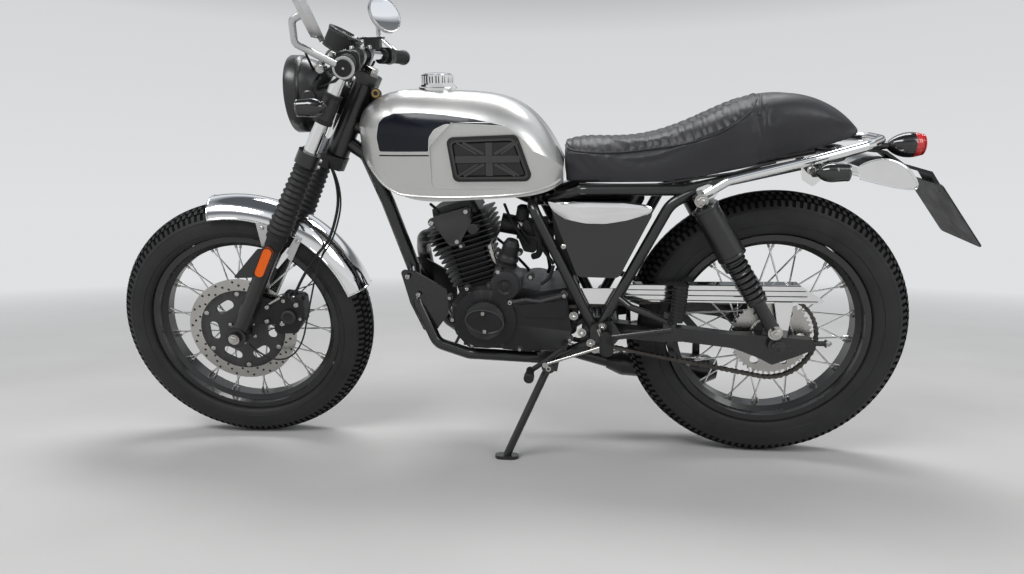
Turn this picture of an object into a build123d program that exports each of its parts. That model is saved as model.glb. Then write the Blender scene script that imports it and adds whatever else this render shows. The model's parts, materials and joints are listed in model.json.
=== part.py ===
"""Cafe racer motorcycle, parked on its side stand with the bars turned a little to the left.

Every piece is drawn with the machine upright and the bars straight: X runs to the rear,
Y to the rider's right, Z up, with the middle of the wheelbase on the floor at the origin.
The last lines turn the steered pieces, lean the whole machine over and centre it.
"""
from build123d import *
from math import atan2, cos, degrees, radians, sin, sqrt
import os

# driving dimensions, mm and degrees
wheelbase = 1320.0
rake = 28.0                     # steering axis back from the vertical
yoke_offset = 42.0              # fork legs ahead of the steering axis
lean = 12.0                     # to the left, on the side stand
steer = 6.5                     # bars to the left as parked

crown = 56.0                    # radius of both tyres' round tread
rear_radius = 333.0
front_radius = 325.0
rear_tyre_height = 110.0         # from the rim's visible inner edge to the tread
front_tyre_height = 97.0
rear_rim_edge = rear_radius - rear_tyre_height
front_rim_edge = front_radius - front_tyre_height
rear_rim_half = 44.0            # half width over the rim flanges
front_rim_half = 38.0
flange_height = 12.0
flange_wall = 4.0
rim_wall = 5.0
rim_drop = 14.0                 # depth of the well that takes the spokes
carcass = 10.0                  # thickness of the tyres' walls
bead_width = 12.0
spoke_radius = 2.2
spokes_per_set = 9

fork_half = 95.0                # fork legs from the middle
slider_radius = 19.5
stanchion_radius = 16.5
gaiter_low = 300.0              # heights along the leg, from the axle
gaiter_high = 480.0
yoke_low = 484.0
yoke_high = 702.0
yoke_thick = 32.0
head_tube_radius = 27.0
stem_radius = 14.0
head_gap = 2.5                  # between the yokes and the head tube

bar_half = 352.0
bar_radius = 11.0
grip_radius = 16.5
grip_length = 118.0

disc_radius = 137.0
disc_inner = 106.0
disc_y = -60.0
disc_thick = 4.5

crank_x = -11.0
crank_z = 379.0
barrel_tilt = 17.0
fin_pitch = 12.5
fin_thick = 3.4

seat_rail_z = 684.0
frame_half = 110.0
down_tube_radius = 17.0
rail_radius = 12.5

pivot_x = 256.0
pivot_z = 345.0
arm_half = 112.0
arm_width = 26.0
arm_height = 33.0
chain_y = -78.0
chain_width = 15.0
chain_height = 10.0
chain_clearance = 4.5
rear_sprocket_tip = 93.0
front_sprocket_radius = 34.0
front_sprocket_x = 172.0
front_sprocket_z = 362.0

stand_x = 140.0
stand_y = -118.0
stand_z = 262.0
stand_foot_x = 38.0
stand_foot_y = -161.0
stand_ankle_z = 41.0
stand_leg_radius = 9.5
stand_pin = 8.0
stand_lug = 8.0                 # thickness of the lug that carries the stand
stand_hub = 18.0
stand_gap = 5.0

tank_wall = 8.0

# places worked out from them
rear_x = wheelbase / 2
front_x = -wheelbase / 2
steer_dir = Vector(sin(radians(rake)), 0, cos(radians(rake)))
steer_back = Vector(cos(radians(rake)), 0, -sin(radians(rake)))
steer_point = Vector(front_x, 0, front_radius) + steer_back * yoke_offset


def along_leg(distance, side=0.0, ahead=0.0):
    """A point beside the fork leg's line, measured up from the axle."""
    base = Vector(front_x, side * fork_half, front_radius)
    return base + steer_dir * distance - steer_back * ahead


def leg_plane(distance, side=0.0, ahead=0.0):
    """A plane square to the fork, local x to the rear and local y to the right."""
    return Plane(along_leg(distance, side, ahead), x_dir=steer_back, z_dir=steer_dir)


# tools used by many pieces

def tube(points, radius, bend=30.0):
    """A round bar or tube along straight runs joined by tangent bends."""
    with BuildLine() as path:
        if len(points) > 2:
            FilletPolyline(*points, radius=bend)
        else:
            Line(*points)
    with BuildSketch(Plane(path.line @ 0, z_dir=path.line % 0)) as section:
        Circle(radius)
    sweep(sections=section.sketch, path=path.line)


def side_plate(points, corner, y_from, y_to, mode=Mode.ADD):
    """A plate with its outline in side view, points (x, z), between two values of y."""
    with BuildSketch(Plane.XZ.offset(-y_from)) as outline:
        Polygon(*points, align=None)
        if corner:
            fillet(outline.vertices(), corner)
    extrude(outline.sketch, amount=y_from - y_to, mode=mode)


def cross_rod(x, z, radius, y_from, y_to, mode=Mode.ADD):
    """A round piece whose axis runs across the machine."""
    with BuildSketch(Plane.XZ.offset(-y_from)) as outline:
        with Locations((x, z)):
            Circle(radius)
    extrude(outline.sketch, amount=y_from - y_to, mode=mode)


def turned(profile, x, z):
    """A piece turned about an axle across the machine, profile points (y, radius)."""
    with BuildSketch(Plane(origin=(x, 0, z), x_dir=(0, 1, 0), z_dir=(1, 0, 0))) as section:
        Polygon(*profile, align=None)
    revolve(section.sketch, axis=Axis((x, 0, z), (0, 1, 0)))


def dome_middle(edge, apex):
    """The point half way round an arc from (a, radius) to (apex, 0), centred on the axis."""
    a, radius = edge
    centre = (a * a + radius * radius - apex * apex) / (2 * (a - apex))
    turn = atan2(radius, a - centre) / 2
    if apex < centre:
        turn = radians(90) + atan2(radius, a - centre) / 2
    reach = abs(apex - centre)
    return (centre + reach * cos(turn), reach * sin(turn))


# wheels

def tyre(x, radius, rim_edge, rim_half):
    """Round crown, bulged sidewalls and two beads between the rim flanges, open to the rim."""
    centre = radius - crown
    bead_half = rim_half - flange_wall
    bead = rim_edge + flange_wall
    toe = bead_half - bead_width
    liner = crown - carcass
    waist = (toe + liner) / 2 + 3
    with BuildSketch(Plane(origin=(x, 0, radius), x_dir=(0, 1, 0), z_dir=(1, 0, 0))) as section:
        with BuildLine():
            ThreePointArc((-crown, centre), (0, radius), (crown, centre))
            ThreePointArc((crown, centre), (crown - 5, bead + 0.42 * (centre - bead)),
                          (bead_half + 2, bead + flange_height))
            Polyline((bead_half + 2, bead + flange_height), (bead_half, bead), (toe, bead))
            ThreePointArc((toe, bead), (waist, bead + 0.5 * (centre - bead)), (liner, centre))
            ThreePointArc((liner, centre), (0, radius - carcass), (-liner, centre))
            ThreePointArc((-liner, centre), (-waist, bead + 0.5 * (centre - bead)), (-toe, bead))
            Polyline((-toe, bead), (-bead_half, bead), (-bead_half - 2, bead + flange_height))
            ThreePointArc((-bead_half - 2, bead + flange_height),
                          (-crown + 5, bead + 0.42 * (centre - bead)), (-crown, centre))
        make_face()
    revolve(section.sketch, axis=Axis((x, 0, radius), (0, 1, 0)))


def rim(x, z, rim_edge, rim_half):
    """Two flanges and a well that drops toward the spokes."""
    bead = rim_edge + flange_wall
    lip = rim_half + 1
    well = 0.42 * rim_half
    turned([(-lip, bead + flange_height - 2), (-lip + 3, bead + flange_height - 2),
            (-rim_half + flange_wall, bead - 0.3), (rim_half - flange_wall, bead - 0.3),
            (lip - 3, bead + flange_height - 2), (lip, bead + flange_height - 2),
            (rim_half, rim_edge), (well + 8, rim_edge - 2), (well, rim_edge - rim_drop),
            (-well, rim_edge - rim_drop), (-well - 8, rim_edge - 2), (-rim_half, rim_edge)],
           x, z)


def spokes(x, z, flange_radius, flange_y, rim_radius, rim_y):
    """Four sets of wire spokes, crossing on each side of the hub."""
    step = 360 / spokes_per_set
    lead = 1.55 * step
    for side in (-1, 1):
        for turn, inset in ((1, 2.6), (-1, -2.6)):
            for index in range(spokes_per_set):
                hub_angle = radians(index * step + 0.25 * step * side)
                rim_angle = hub_angle + radians(turn * lead)
                start = Vector(x + flange_radius * cos(hub_angle), side * (flange_y + inset),
                               z + flange_radius * sin(hub_angle))
                end = Vector(x + rim_radius * cos(rim_angle), side * rim_y,
                             z + rim_radius * sin(rim_angle))
                with BuildSketch(Plane(start, z_dir=end - start)) as section:
                    RegularPolygon(spoke_radius, 6)
                extrude(section.sketch, amount=(end - start).length)


with BuildPart() as front_tyre:
    tyre(front_x, front_radius, front_rim_edge, front_rim_half)

with BuildPart() as rear_tyre:
    tyre(rear_x, rear_radius, rear_rim_edge, rear_rim_half)

with BuildPart() as front_wheel:
    rim(front_x, front_radius, front_rim_edge, front_rim_half)
    turned([(-48, 10), (-48, 24), (-30, 24), (-30, 45), (-24, 45), (-22, 26), (22, 26),
            (24, 45), (30, 45), (30, 24), (48, 22), (48, 10)], front_x, front_radius)
    spokes(front_x, front_radius, 39, 27, front_rim_edge - rim_drop + 3, 8)

with BuildPart() as rear_wheel:
    rim(rear_x, rear_radius, rear_rim_edge, rear_rim_half)
    turned([(-58, 11), (-58, 42), (-40, 42), (-36, 62), (-30, 62), (-26, 40), (26, 40),
            (30, 62), (36, 62), (38, 46), (58, 44), (58, 11)], rear_x, rear_radius)
    spokes(rear_x, rear_radius, 56, 33, rear_rim_edge - rim_drop + 3, 9)

with BuildPart() as front_disc:
    turned([(disc_y - disc_thick / 2, disc_inner), (disc_y - disc_thick / 2, disc_radius),
            (disc_y + disc_thick / 2, disc_radius), (disc_y + disc_thick / 2, disc_inner)],
           front_x, front_radius)
    turned([(disc_y - 3.5, 24), (disc_y - 3.5, disc_inner + 2), (disc_y + 3.5, disc_inner + 2),
            (disc_y + 3.5, 40), (-48, 38), (-48, 24)], front_x, front_radius)
    with BuildSketch(Plane.XZ.offset(-disc_y - 20)) as windows:
        with Locations((front_x, front_radius)):
            with PolarLocations(74, 6):
                SlotOverall(50, 24, rotation=90)
    extrude(windows.sketch, amount=40, mode=Mode.SUBTRACT)

tooth_count = 45
with BuildPart() as rear_sprocket:
    with BuildSketch(Plane.XZ.offset(-chain_y - 3)) as outline:
        with Locations((rear_x, rear_radius)):
            Circle(rear_sprocket_tip - 5)
            with PolarLocations(rear_sprocket_tip - 4, tooth_count):
                Trapezoid(9, 8.5, 66, rotation=-90)
            Circle(48, mode=Mode.SUBTRACT)
            with PolarLocations(66, 6):
                Circle(11, mode=Mode.SUBTRACT)
    extrude(outline.sketch, amount=6)
    turned([(-58.2, 20), (-58.2, 60), (chain_y + 3, 60), (chain_y + 3, 56), (chain_y - 3, 52),
            (-92, 30), (-92, 20)], rear_x, rear_radius)

# steering pieces

bar_clamp = along_leg(yoke_high + yoke_thick + 20) + steer_back * 8
bar_end_x = bar_clamp.X + 41
bar_end_z = bar_clamp.Z - 15
with BuildPart() as handlebar:
    tube([(bar_end_x, -bar_half, bar_end_z), (bar_clamp.X + 12, -175, bar_clamp.Z - 4),
          (bar_clamp.X, -95, bar_clamp.Z), (bar_clamp.X, 95, bar_clamp.Z),
          (bar_clamp.X + 12, 175, bar_clamp.Z - 4), (bar_end_x, bar_half, bar_end_z)],
         bar_radius, 40)

with BuildPart() as fork_yokes:
    for distance, thick in ((yoke_low, yoke_thick), (yoke_high, yoke_thick - 8)):
        with BuildSketch(leg_plane(distance)) as outline:
            with Locations((0, fork_half), (0, -fork_half)):
                Circle(27)
            with Locations((yoke_offset, 0)):
                Circle(30)
            Polygon((-24, -fork_half), (-24, fork_half), (yoke_offset + 24, 24),
                    (yoke_offset + 24, -24), align=None)
            with Locations((0, fork_half), (0, -fork_half)):
                Circle(stanchion_radius, mode=Mode.SUBTRACT)
        extrude(outline.sketch, amount=thick)
    with BuildSketch(leg_plane(yoke_low + 2)) as stem:
        with Locations((yoke_offset, 0)):
            Circle(stem_radius)
    extrude(stem.sketch, amount=yoke_high + yoke_thick + 2 - yoke_low)
    for side in (-40, 40):
        with BuildSketch(leg_plane(yoke_high + yoke_thick - 14)) as riser:
            with Locations((10, side)):
                RectangleRounded(34, 26, 6)
        extrude(riser.sketch, amount=37)
        cross_rod(bar_clamp.X, bar_clamp.Z, 18, side + 13, side - 13)
    add(handlebar.part, mode=Mode.SUBTRACT)

with BuildPart() as fork_tubes:
    with BuildSketch(leg_plane(gaiter_low - 40)) as legs:
        with Locations((0, fork_half), (0, -fork_half)):
            Circle(stanchion_radius)
    extrude(legs.sketch, amount=yoke_high + yoke_thick + 4 - gaiter_low + 40)

rib_count = 12
with BuildPart() as fork_gaiters:
    rib = (gaiter_high - 8 - gaiter_low) / rib_count
    for side in (-1, 1):
        profile = [(gaiter_low - 14, stanchion_radius + 0.2), (gaiter_low - 14, 24),
                   (gaiter_low, 24)]
        for index in range(rib_count):
            outer = 30.5 - 0.55 * index
            profile += [(gaiter_low + rib * (index + 0.5), outer),
                        (gaiter_low + rib * (index + 1), outer - 4.5)]
        profile += [(gaiter_high - 2, 22), (gaiter_high, 21), (gaiter_high, stanchion_radius + 0.2)]
        origin = along_leg(0, side)
        with BuildSketch(Plane(origin, x_dir=steer_dir, z_dir=(0, 1, 0))) as section:
            Polygon(*[(s, r) for s, r in profile], align=None)
        revolve(section.sketch, axis=Axis(origin, steer_dir))

with BuildPart() as fork_sliders:
    for side in (-1, 1):
        with BuildSketch(leg_plane(-24, side)) as barrel:
            Circle(slider_radius)
        extrude(barrel.sketch, amount=gaiter_low - 15 + 24)
        cross_rod(front_x, front_radius, 26, side * fork_half + 21, side * fork_half - 21)
        side_plate([(front_x + 8, front_radius + 150), (front_x + 55, front_radius + 150),
                    (front_x + 90, front_radius + 205), (front_x + 96, front_radius + 222),
                    (front_x + 78, front_radius + 222)], 3,
                   side * 84 + 4, side * 84 - 4)
    cross_rod(front_x, front_radius, 9, -fork_half - 26, fork_half + 26)
    cross_rod(front_x, front_radius, 14, 49, fork_half - 15)
    cross_rod(front_x, front_radius, 15, -fork_half - 30, -fork_half - 19)
    cross_rod(front_x, front_radius, 15, fork_half + 19, fork_half + 30)
    cross_rod(front_x, front_radius, 14, -49, -fork_half + 15)
    with BuildSketch(leg_plane(gaiter_low - 40)) as bores:
        with Locations((0, fork_half), (0, -fork_half)):
            Circle(stanchion_radius)
    extrude(bores.sketch, amount=60, mode=Mode.SUBTRACT)

with BuildPart() as brake_caliper:
    across = front_x + disc_radius - 16
    caliper = [(across - 32, front_radius - 4), (across + 26, front_radius - 4),
               (across + 52, front_radius + 38), (across + 52, front_radius + 90),
               (across + 2, front_radius + 101), (across - 26, front_radius + 74)]
    side_plate(caliper, 12, disc_y - 6, disc_y - 24)
    side_plate(caliper, 12, disc_y + 22, disc_y + 6)
    side_plate([(across + 30, front_radius + 16), (across + 52, front_radius + 28),
                (across + 52, front_radius + 90), (across + 30, front_radius + 94)], 3,
               disc_y + 8, disc_y - 8)
    cross_rod(across + 12, front_radius + 44, 17, disc_y - 24, disc_y - 31)
    side_plate([(front_x + 20, front_radius + 25), (across - 20, front_radius + 20),
                (across - 16, front_radius + 80), (front_x + 60, front_radius + 100),
                (front_x + 45, front_radius + 80)], 8, disc_y - 15, disc_y - 22)
    add(fork_sliders.part, mode=Mode.SUBTRACT)

guard_radius = front_radius + 18
guard_start = 8.0               # degrees ahead of the top of the tyre
guard_sweep = 81.0
guard_side = guard_radius - 49
with BuildPart() as front_mudguard:
    with BuildSketch(Plane(origin=(front_x, 0, front_radius), x_dir=(0, 1, 0),
                           z_dir=(cos(radians(guard_start)), 0, sin(radians(guard_start))))
                     ) as section:
        with BuildLine():
            ThreePointArc((-64, guard_side), (0, guard_radius), (64, guard_side))
            Line((64, guard_side), (61.5, guard_side))
            ThreePointArc((61.5, guard_side), (0, guard_radius - 2.5), (-61.5, guard_side))
            Line((-61.5, guard_side), (-64, guard_side))
        make_face()
    revolve(section.sketch, axis=Axis((front_x, 0, front_radius), (0, 1, 0)),
            revolution_arc=guard_sweep)
    for side in (-1, 1):
        for low, high, half in ((232, 292, 5), (205, 262, 7)):
            ahead = 20 if low == 232 else -34
            foot = along_leg(low, 0, ahead * 0.55) + Vector(0, side * 74, 0)
            head = along_leg(high, 0, ahead) + Vector(0, side * 64, 0)
            with BuildSketch(Plane((foot + head) * 0.5, x_dir=(0, 1, 0), z_dir=head - foot)
                             ) as strap:
                Rectangle(5, 2 * half)
            extrude(strap.sketch, amount=(head - foot).length / 2, both=True)

with BuildPart() as fork_reflectors:
    for side in (-1, 1):
        with BuildSketch(Plane(along_leg(223, side, 3) + Vector(0, side * slider_radius, 0),
                               x_dir=steer_dir, z_dir=(0, side, 0))) as lens:
            SlotOverall(82, 25)
        extrude(lens.sketch, amount=7, both=True)
    with BuildSketch(leg_plane(gaiter_low - 190)) as hollow:
        with Locations((0, fork_half), (0, -fork_half)):
            Circle(slider_radius)
    extrude(hollow.sketch, amount=190, mode=Mode.SUBTRACT)

def bar_point(side, distance):
    """A point on the bar's outer stretch, distance measured in from its end."""
    end = Vector(bar_end_x, side * bar_half, bar_end_z)
    inner = Vector(bar_clamp.X + 12, side * 175, bar_clamp.Z - 4)
    return end + (inner - end).normalized() * distance


def bar_plane(side, distance):
    """A plane square to the bar, its normal pointing in toward the middle."""
    origin = bar_point(side, distance)
    inward = bar_point(side, distance + 1) - origin
    return Plane(origin, x_dir=Vector(0, 0, 1).cross(inward) * -side, z_dir=inward)


with BuildPart() as hand_grips:
    for side in (-1, 1):
        with BuildSketch(bar_plane(side, 6)) as grip:
            Circle(grip_radius)
            Circle(bar_radius, mode=Mode.SUBTRACT)
        extrude(grip.sketch, amount=grip_length)
        with BuildSketch(bar_plane(side, grip_length)) as collar:
            Circle(grip_radius + 5)
            Circle(bar_radius, mode=Mode.SUBTRACT)
        extrude(collar.sketch, amount=7)

with BuildPart() as bar_controls:
    for side in (-1, 1):
        with BuildSketch(bar_plane(side, grip_length + 9)) as housing:
            RectangleRounded(46, 40, 12)
            Circle(bar_radius, mode=Mode.SUBTRACT)
        extrude(housing.sketch, amount=34)
        with BuildSketch(bar_plane(side, grip_length + 46)) as perch:
            Circle(17)
            Circle(bar_radius, mode=Mode.SUBTRACT)
        extrude(perch.sketch, amount=16)
        pivot = bar_point(side, grip_length + 50) + Vector(-34, 0, 4)
        tube([bar_point(side, grip_length + 54) + Vector(-12, 0, 0), pivot], 8)
        knuckle = bar_point(side, grip_length + 20) + Vector(-52, 0, 2)
        tip = bar_point(side, 12) + Vector(-44, 0, -2)
        tube([pivot, knuckle, bar_point(side, 70) + Vector(-52, 0, 0), tip], 5.5, 18)
        with Locations(tip):
            Sphere(8)
    cup = bar_point(1, grip_length + 62)
    with BuildSketch(Plane(cup + Vector(-18, 0, 14), x_dir=(0, 1, 0), z_dir=(0, 0, 1))) as cup_base:
        RectangleRounded(52, 40, 9)
    extrude(cup_base.sketch, amount=26)

mirror_radius = 53.0
mirror_poses = (                # side, stem (back, up), height of the bend, glass (back, up), facing
    (-1, (-70, 45), 84, (-40, 97), (0.90, 0.23, 0.36)),
    (1, (-74, 58), 100, (-52, 116), (0.72, -0.58, 0.38)))
with BuildPart() as bar_mirrors:
    for side, stem, bend_height, glass, facing in mirror_poses:
        with BuildSketch(bar_plane(side, 0)) as ring:
            Circle(grip_radius + 4)
            Circle(bar_radius, mode=Mode.SUBTRACT)
        extrude(ring.sketch, amount=5.5)
        with BuildSketch(bar_plane(side, -9)) as plug:
            Circle(grip_radius - 1)
        extrude(plug.sketch, amount=9)
        start = bar_point(side, -2) + Vector(-8, 0, 4)
        outward = Vector(0, side * 48, 0)
        centre = bar_point(side, 0) + outward + Vector(glass[0], 0, glass[1])
        face = Vector(*facing).normalized()
        tube([start, bar_point(side, 0) + outward + Vector(stem[0], 0, stem[1]),
              bar_point(side, 0) + outward + Vector(stem[0], 0, bend_height),
              centre - face * 10], 6.5, 11)
        with BuildSketch(Plane(centre, x_dir=(0, 1, 0), z_dir=face)) as bezel:
            Circle(mirror_radius)
        extrude(bezel.sketch, amount=5, both=True)
        with BuildSketch(Plane(centre, x_dir=(0, 1, 0), z_dir=face)) as back:
            Circle(mirror_radius - 3)
        extrude(back.sketch, amount=-15, taper=35)
        with BuildSketch(Plane(centre + face * 3, x_dir=(0, 1, 0), z_dir=face)) as dish:
            Circle(mirror_radius - 3)
        extrude(dish.sketch, amount=10, mode=Mode.SUBTRACT)
    add(handlebar.part, mode=Mode.SUBTRACT)

lamp_radius = 86.0
bracket_low = 592.0             # the lamp bracket's sleeves, measured up the fork legs
bracket_high = 662.0
bracket_middle = along_leg((bracket_low + bracket_high) / 2)
lamp_x = bracket_middle.X - 40
lamp_z = bracket_middle.Z + 25
with BuildPart() as headlamp:
    with BuildSketch(Plane(origin=(lamp_x, 0, lamp_z), x_dir=(1, 0, 0), z_dir=(0, -1, 0))
                     ) as section:
        with BuildLine():
            Polyline((-52, 0), (-52, lamp_radius - 8), (-58, lamp_radius - 6),
                     (-58, lamp_radius), (-30, lamp_radius), (-26, lamp_radius - 4))
            edge = (-26, lamp_radius - 4)
            ThreePointArc(edge, dome_middle(edge, 46), (46, 0))
            Line((46, 0), (-52, 0))
        make_face()
    revolve(section.sketch, axis=Axis((lamp_x, 0, lamp_z), (1, 0, 0)))
    for side in (-1, 1):
        side_plate([(lamp_x - 14, lamp_z - 12), (lamp_x - 14, lamp_z + 12),
                    (lamp_x + 40, lamp_z + 12), (lamp_x + 52, lamp_z - 4),
                    (lamp_x + 46, lamp_z - 46), (lamp_x + 24, lamp_z - 46)], 6,
                   side * (fork_half - 3), side * (fork_half - 9))
        cross_rod(lamp_x, lamp_z, 10, side * 60, side * (fork_half + 2))
    with BuildSketch(leg_plane(bracket_low)) as sleeves:
        with Locations((0, fork_half), (0, -fork_half)):
            Circle(21)
    extrude(sleeves.sketch, amount=bracket_high - bracket_low)
    with BuildSketch(leg_plane(bracket_low - 20)) as bores:
        with Locations((0, fork_half), (0, -fork_half)):
            Circle(stanchion_radius)
    extrude(bores.sketch, amount=bracket_high - bracket_low + 40, mode=Mode.SUBTRACT)
    add(fork_yokes.part, mode=Mode.SUBTRACT)

with BuildPart() as headlamp_lens:
    with BuildSketch(Plane(origin=(lamp_x - 52, 0, lamp_z), x_dir=(1, 0, 0), z_dir=(0, -1, 0))
                     ) as section:
        with BuildLine():
            edge = (-2, lamp_radius - 9)
            ThreePointArc(edge, dome_middle(edge, -18), (-18, 0))
            Polyline((-18, 0), (0, 0), (0, lamp_radius - 9), (-2, lamp_radius - 9))
        make_face()
    revolve(section.sketch, axis=Axis((lamp_x, 0, lamp_z), (1, 0, 0)))

with BuildPart() as instrument:
    dial = along_leg(yoke_high + yoke_thick + 26) - steer_back * 42
    with BuildSketch(Plane(dial, x_dir=(0, 1, 0), z_dir=(0.5, 0, 0.87))) as body:
        Circle(40)
    extrude(body.sketch, amount=22, both=True)
    with BuildSketch(Plane(dial + Vector(0.5, 0, 0.87) * 20, x_dir=(0, 1, 0),
                           z_dir=(0.5, 0, 0.87))) as bowl:
        Circle(36)
    extrude(bowl.sketch, amount=5, mode=Mode.SUBTRACT)
    tube([dial - Vector(0.5, 0, 0.87) * 18, along_leg(yoke_high + yoke_thick - 1)
          - steer_back * 12], 12)
    add(fork_yokes.part, mode=Mode.SUBTRACT)
    add(handlebar.part, mode=Mode.SUBTRACT)

with BuildPart() as front_indicators:
    for side in (-1, 1):
        spot = Vector(lamp_x + 23, side * 158, lamp_z - 18)
        tube([along_leg(0.5 * (bracket_low + bracket_high), side) + Vector(-4, side * 10, 0), spot], 6)
        with BuildSketch(Plane(origin=spot, x_dir=(1, 0, 0), z_dir=(0, -1, 0))) as section:
            with BuildLine():
                Polyline((-32, 0), (-32, 18), (-8, 19.5))
                ThreePointArc((-8, 19.5), (22, 13), (34, 0))
                Line((34, 0), (-32, 0))
            make_face()
        revolve(section.sketch, axis=Axis(spot, (1, 0, 0)))
    add(headlamp.part, mode=Mode.SUBTRACT)
    add(fork_tubes.part, mode=Mode.SUBTRACT)

with BuildPart() as brake_hose:
    hose = [along_leg(yoke_low + 12, 0, -40) + Vector(0, -40, 0),
            along_leg(455, 0, -92) + Vector(0, -56, 0), along_leg(330, 0, -116) + Vector(0, -70, 0),
            along_leg(282, 0, -98) + Vector(0, -78, 0),
            Vector(across + 40, disc_y - 17, front_radius + 120),
            Vector(across + 26, disc_y - 15, front_radius + 88)]
    tube(hose, 4, 14)
    add(fork_yokes.part, mode=Mode.SUBTRACT)
    add(brake_caliper.part, mode=Mode.SUBTRACT)

# fixed pieces: frame

hip = Vector(stand_x, stand_y, stand_z)
ankle = Vector(stand_foot_x, stand_foot_y, stand_ankle_z)
leg_down = (ankle - hip).normalized()
leg_folded = Vector(0.9985, 0, -0.055)
stand_axis = leg_down.cross(leg_folded).normalized()
stand_plane = Plane(hip, x_dir=(1, 0, 0), z_dir=stand_axis)


def stand_disc(radius, inner, outer, mode=Mode.ADD):
    """A round piece about the stand's axis, measured outward from the middle of its hub."""
    with BuildSketch(stand_plane.offset(inner)) as outline:
        Circle(radius)
    extrude(outline.sketch, amount=outer - inner, mode=mode)


def head_point(height, back):
    """A point in the middle plane, height along the steering axis and back from it."""
    return along_leg(height) + steer_back * (yoke_offset + back)


shock_top = Vector(472, -138, 668)
shock_low = Vector(rear_x - 10, -138, rear_radius + 36)
head_bottom = along_leg(yoke_low + yoke_thick + head_gap) + steer_back * yoke_offset
head_top = along_leg(yoke_high - head_gap) + steer_back * yoke_offset
with BuildPart() as main_frame:
    for tube_points, radius, bend in (
            ([head_point(600, 0), (-150, 0, 766), (100, 0, 652), (150, 0, 652)], 19, 60),
            ([head_point(556, 0), head_point(548, 66), (-262, 0, 640), (-206, 0, 466)],
             down_tube_radius, 34)):
        tube(tube_points, radius, bend)
    with BuildSketch(Plane(head_bottom, x_dir=steer_back, z_dir=steer_dir)) as head_tube:
        Circle(head_tube_radius)
    extrude(head_tube.sketch, amount=(head_top - head_bottom).length)
    for side in (-1, 1):
        tube([(-206, 0, 480), (-186, side * 60, 400), (-140, side * 76, 300),
              (-60, side * 82, 276), (150, side * 88, 270), (236, side * 110, 318)], 14, 34)
        side_plate([(-226, 486), (-190, 482), (-112, 436), (-112, 372), (-150, 320),
                    (-176, 330), (-206, 400)], 8, side * 66, side * 60)
    tube([(110, -86, 272), (110, 86, 272)], 11, 30)
    lug_face = -stand_hub / 2 - stand_gap
    with BuildSketch(stand_plane.offset(lug_face - stand_lug)) as lug:
        Polygon((-30, 30), (30, 36), (20, -16), (-12, -16), align=None)
    extrude(lug.sketch, amount=stand_lug)
    stand_disc(stand_pin, lug_face - 2, stand_hub / 2 + stand_gap)
    stand_disc(stand_pin + 5, stand_hub / 2 + stand_gap, stand_hub / 2 + stand_gap + 5)
    with BuildSketch(Plane(head_bottom - steer_dir * 5, x_dir=steer_back, z_dir=steer_dir)
                     ) as bore:
        Circle(stem_radius + 3)
    extrude(bore.sketch, amount=(head_top - head_bottom).length + 10, mode=Mode.SUBTRACT)

with BuildPart() as rear_frame:
    for side in (-1, 1):
        for tube_points, radius, bend in (
                ([(104, 0, 650), (104, side * frame_half, 650),
                  (pivot_x, side * frame_half, 340)], rail_radius, 24),
                ([(130, 0, 652), (140, side * 60, 654), (220, side * 104, seat_rail_z),
                  (440, side * 104, seat_rail_z), (770, side * 78, 752)], rail_radius, 20),
                ([(pivot_x, side * frame_half, 352), (412, side * frame_half, 655),
                  (500, side * 100, 697)], rail_radius, 60),
                ([(300, side * 112, 438), (330, side * 134, 420), (424, side * 138, 384)], 8, 10),
                ([(270, side * 131, 342), (424, side * 138, 368)], 8, 10)):
            tube(tube_points, radius, bend)
        side_plate([(220, 384), (290, 384), (300, 350), (284, 312), (240, 300),
                    (216, 320)], 10, side * 106, side * 98)
        side_plate([(238, 374), (290, 386), (312, 350), (290, 322), (240, 320)], 10,
                   side * 136, side * 128)
        side_plate([(404, 410), (428, 410), (436, 358), (404, 354)], 5, side * 142, side * 134)
        cross_rod(shock_top.X, shock_top.Z, 9, side * 98, side * 150)
    tube([(770, -78, 752), (792, 0, 757), (770, 78, 752)], rail_radius, 60)
    tube([(440, -104, seat_rail_z), (440, 104, seat_rail_z)], rail_radius, 30)
    cross_rod(pivot_x, pivot_z, 12, 128, -128)
    add(main_frame.part, mode=Mode.SUBTRACT)

# engine

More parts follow.
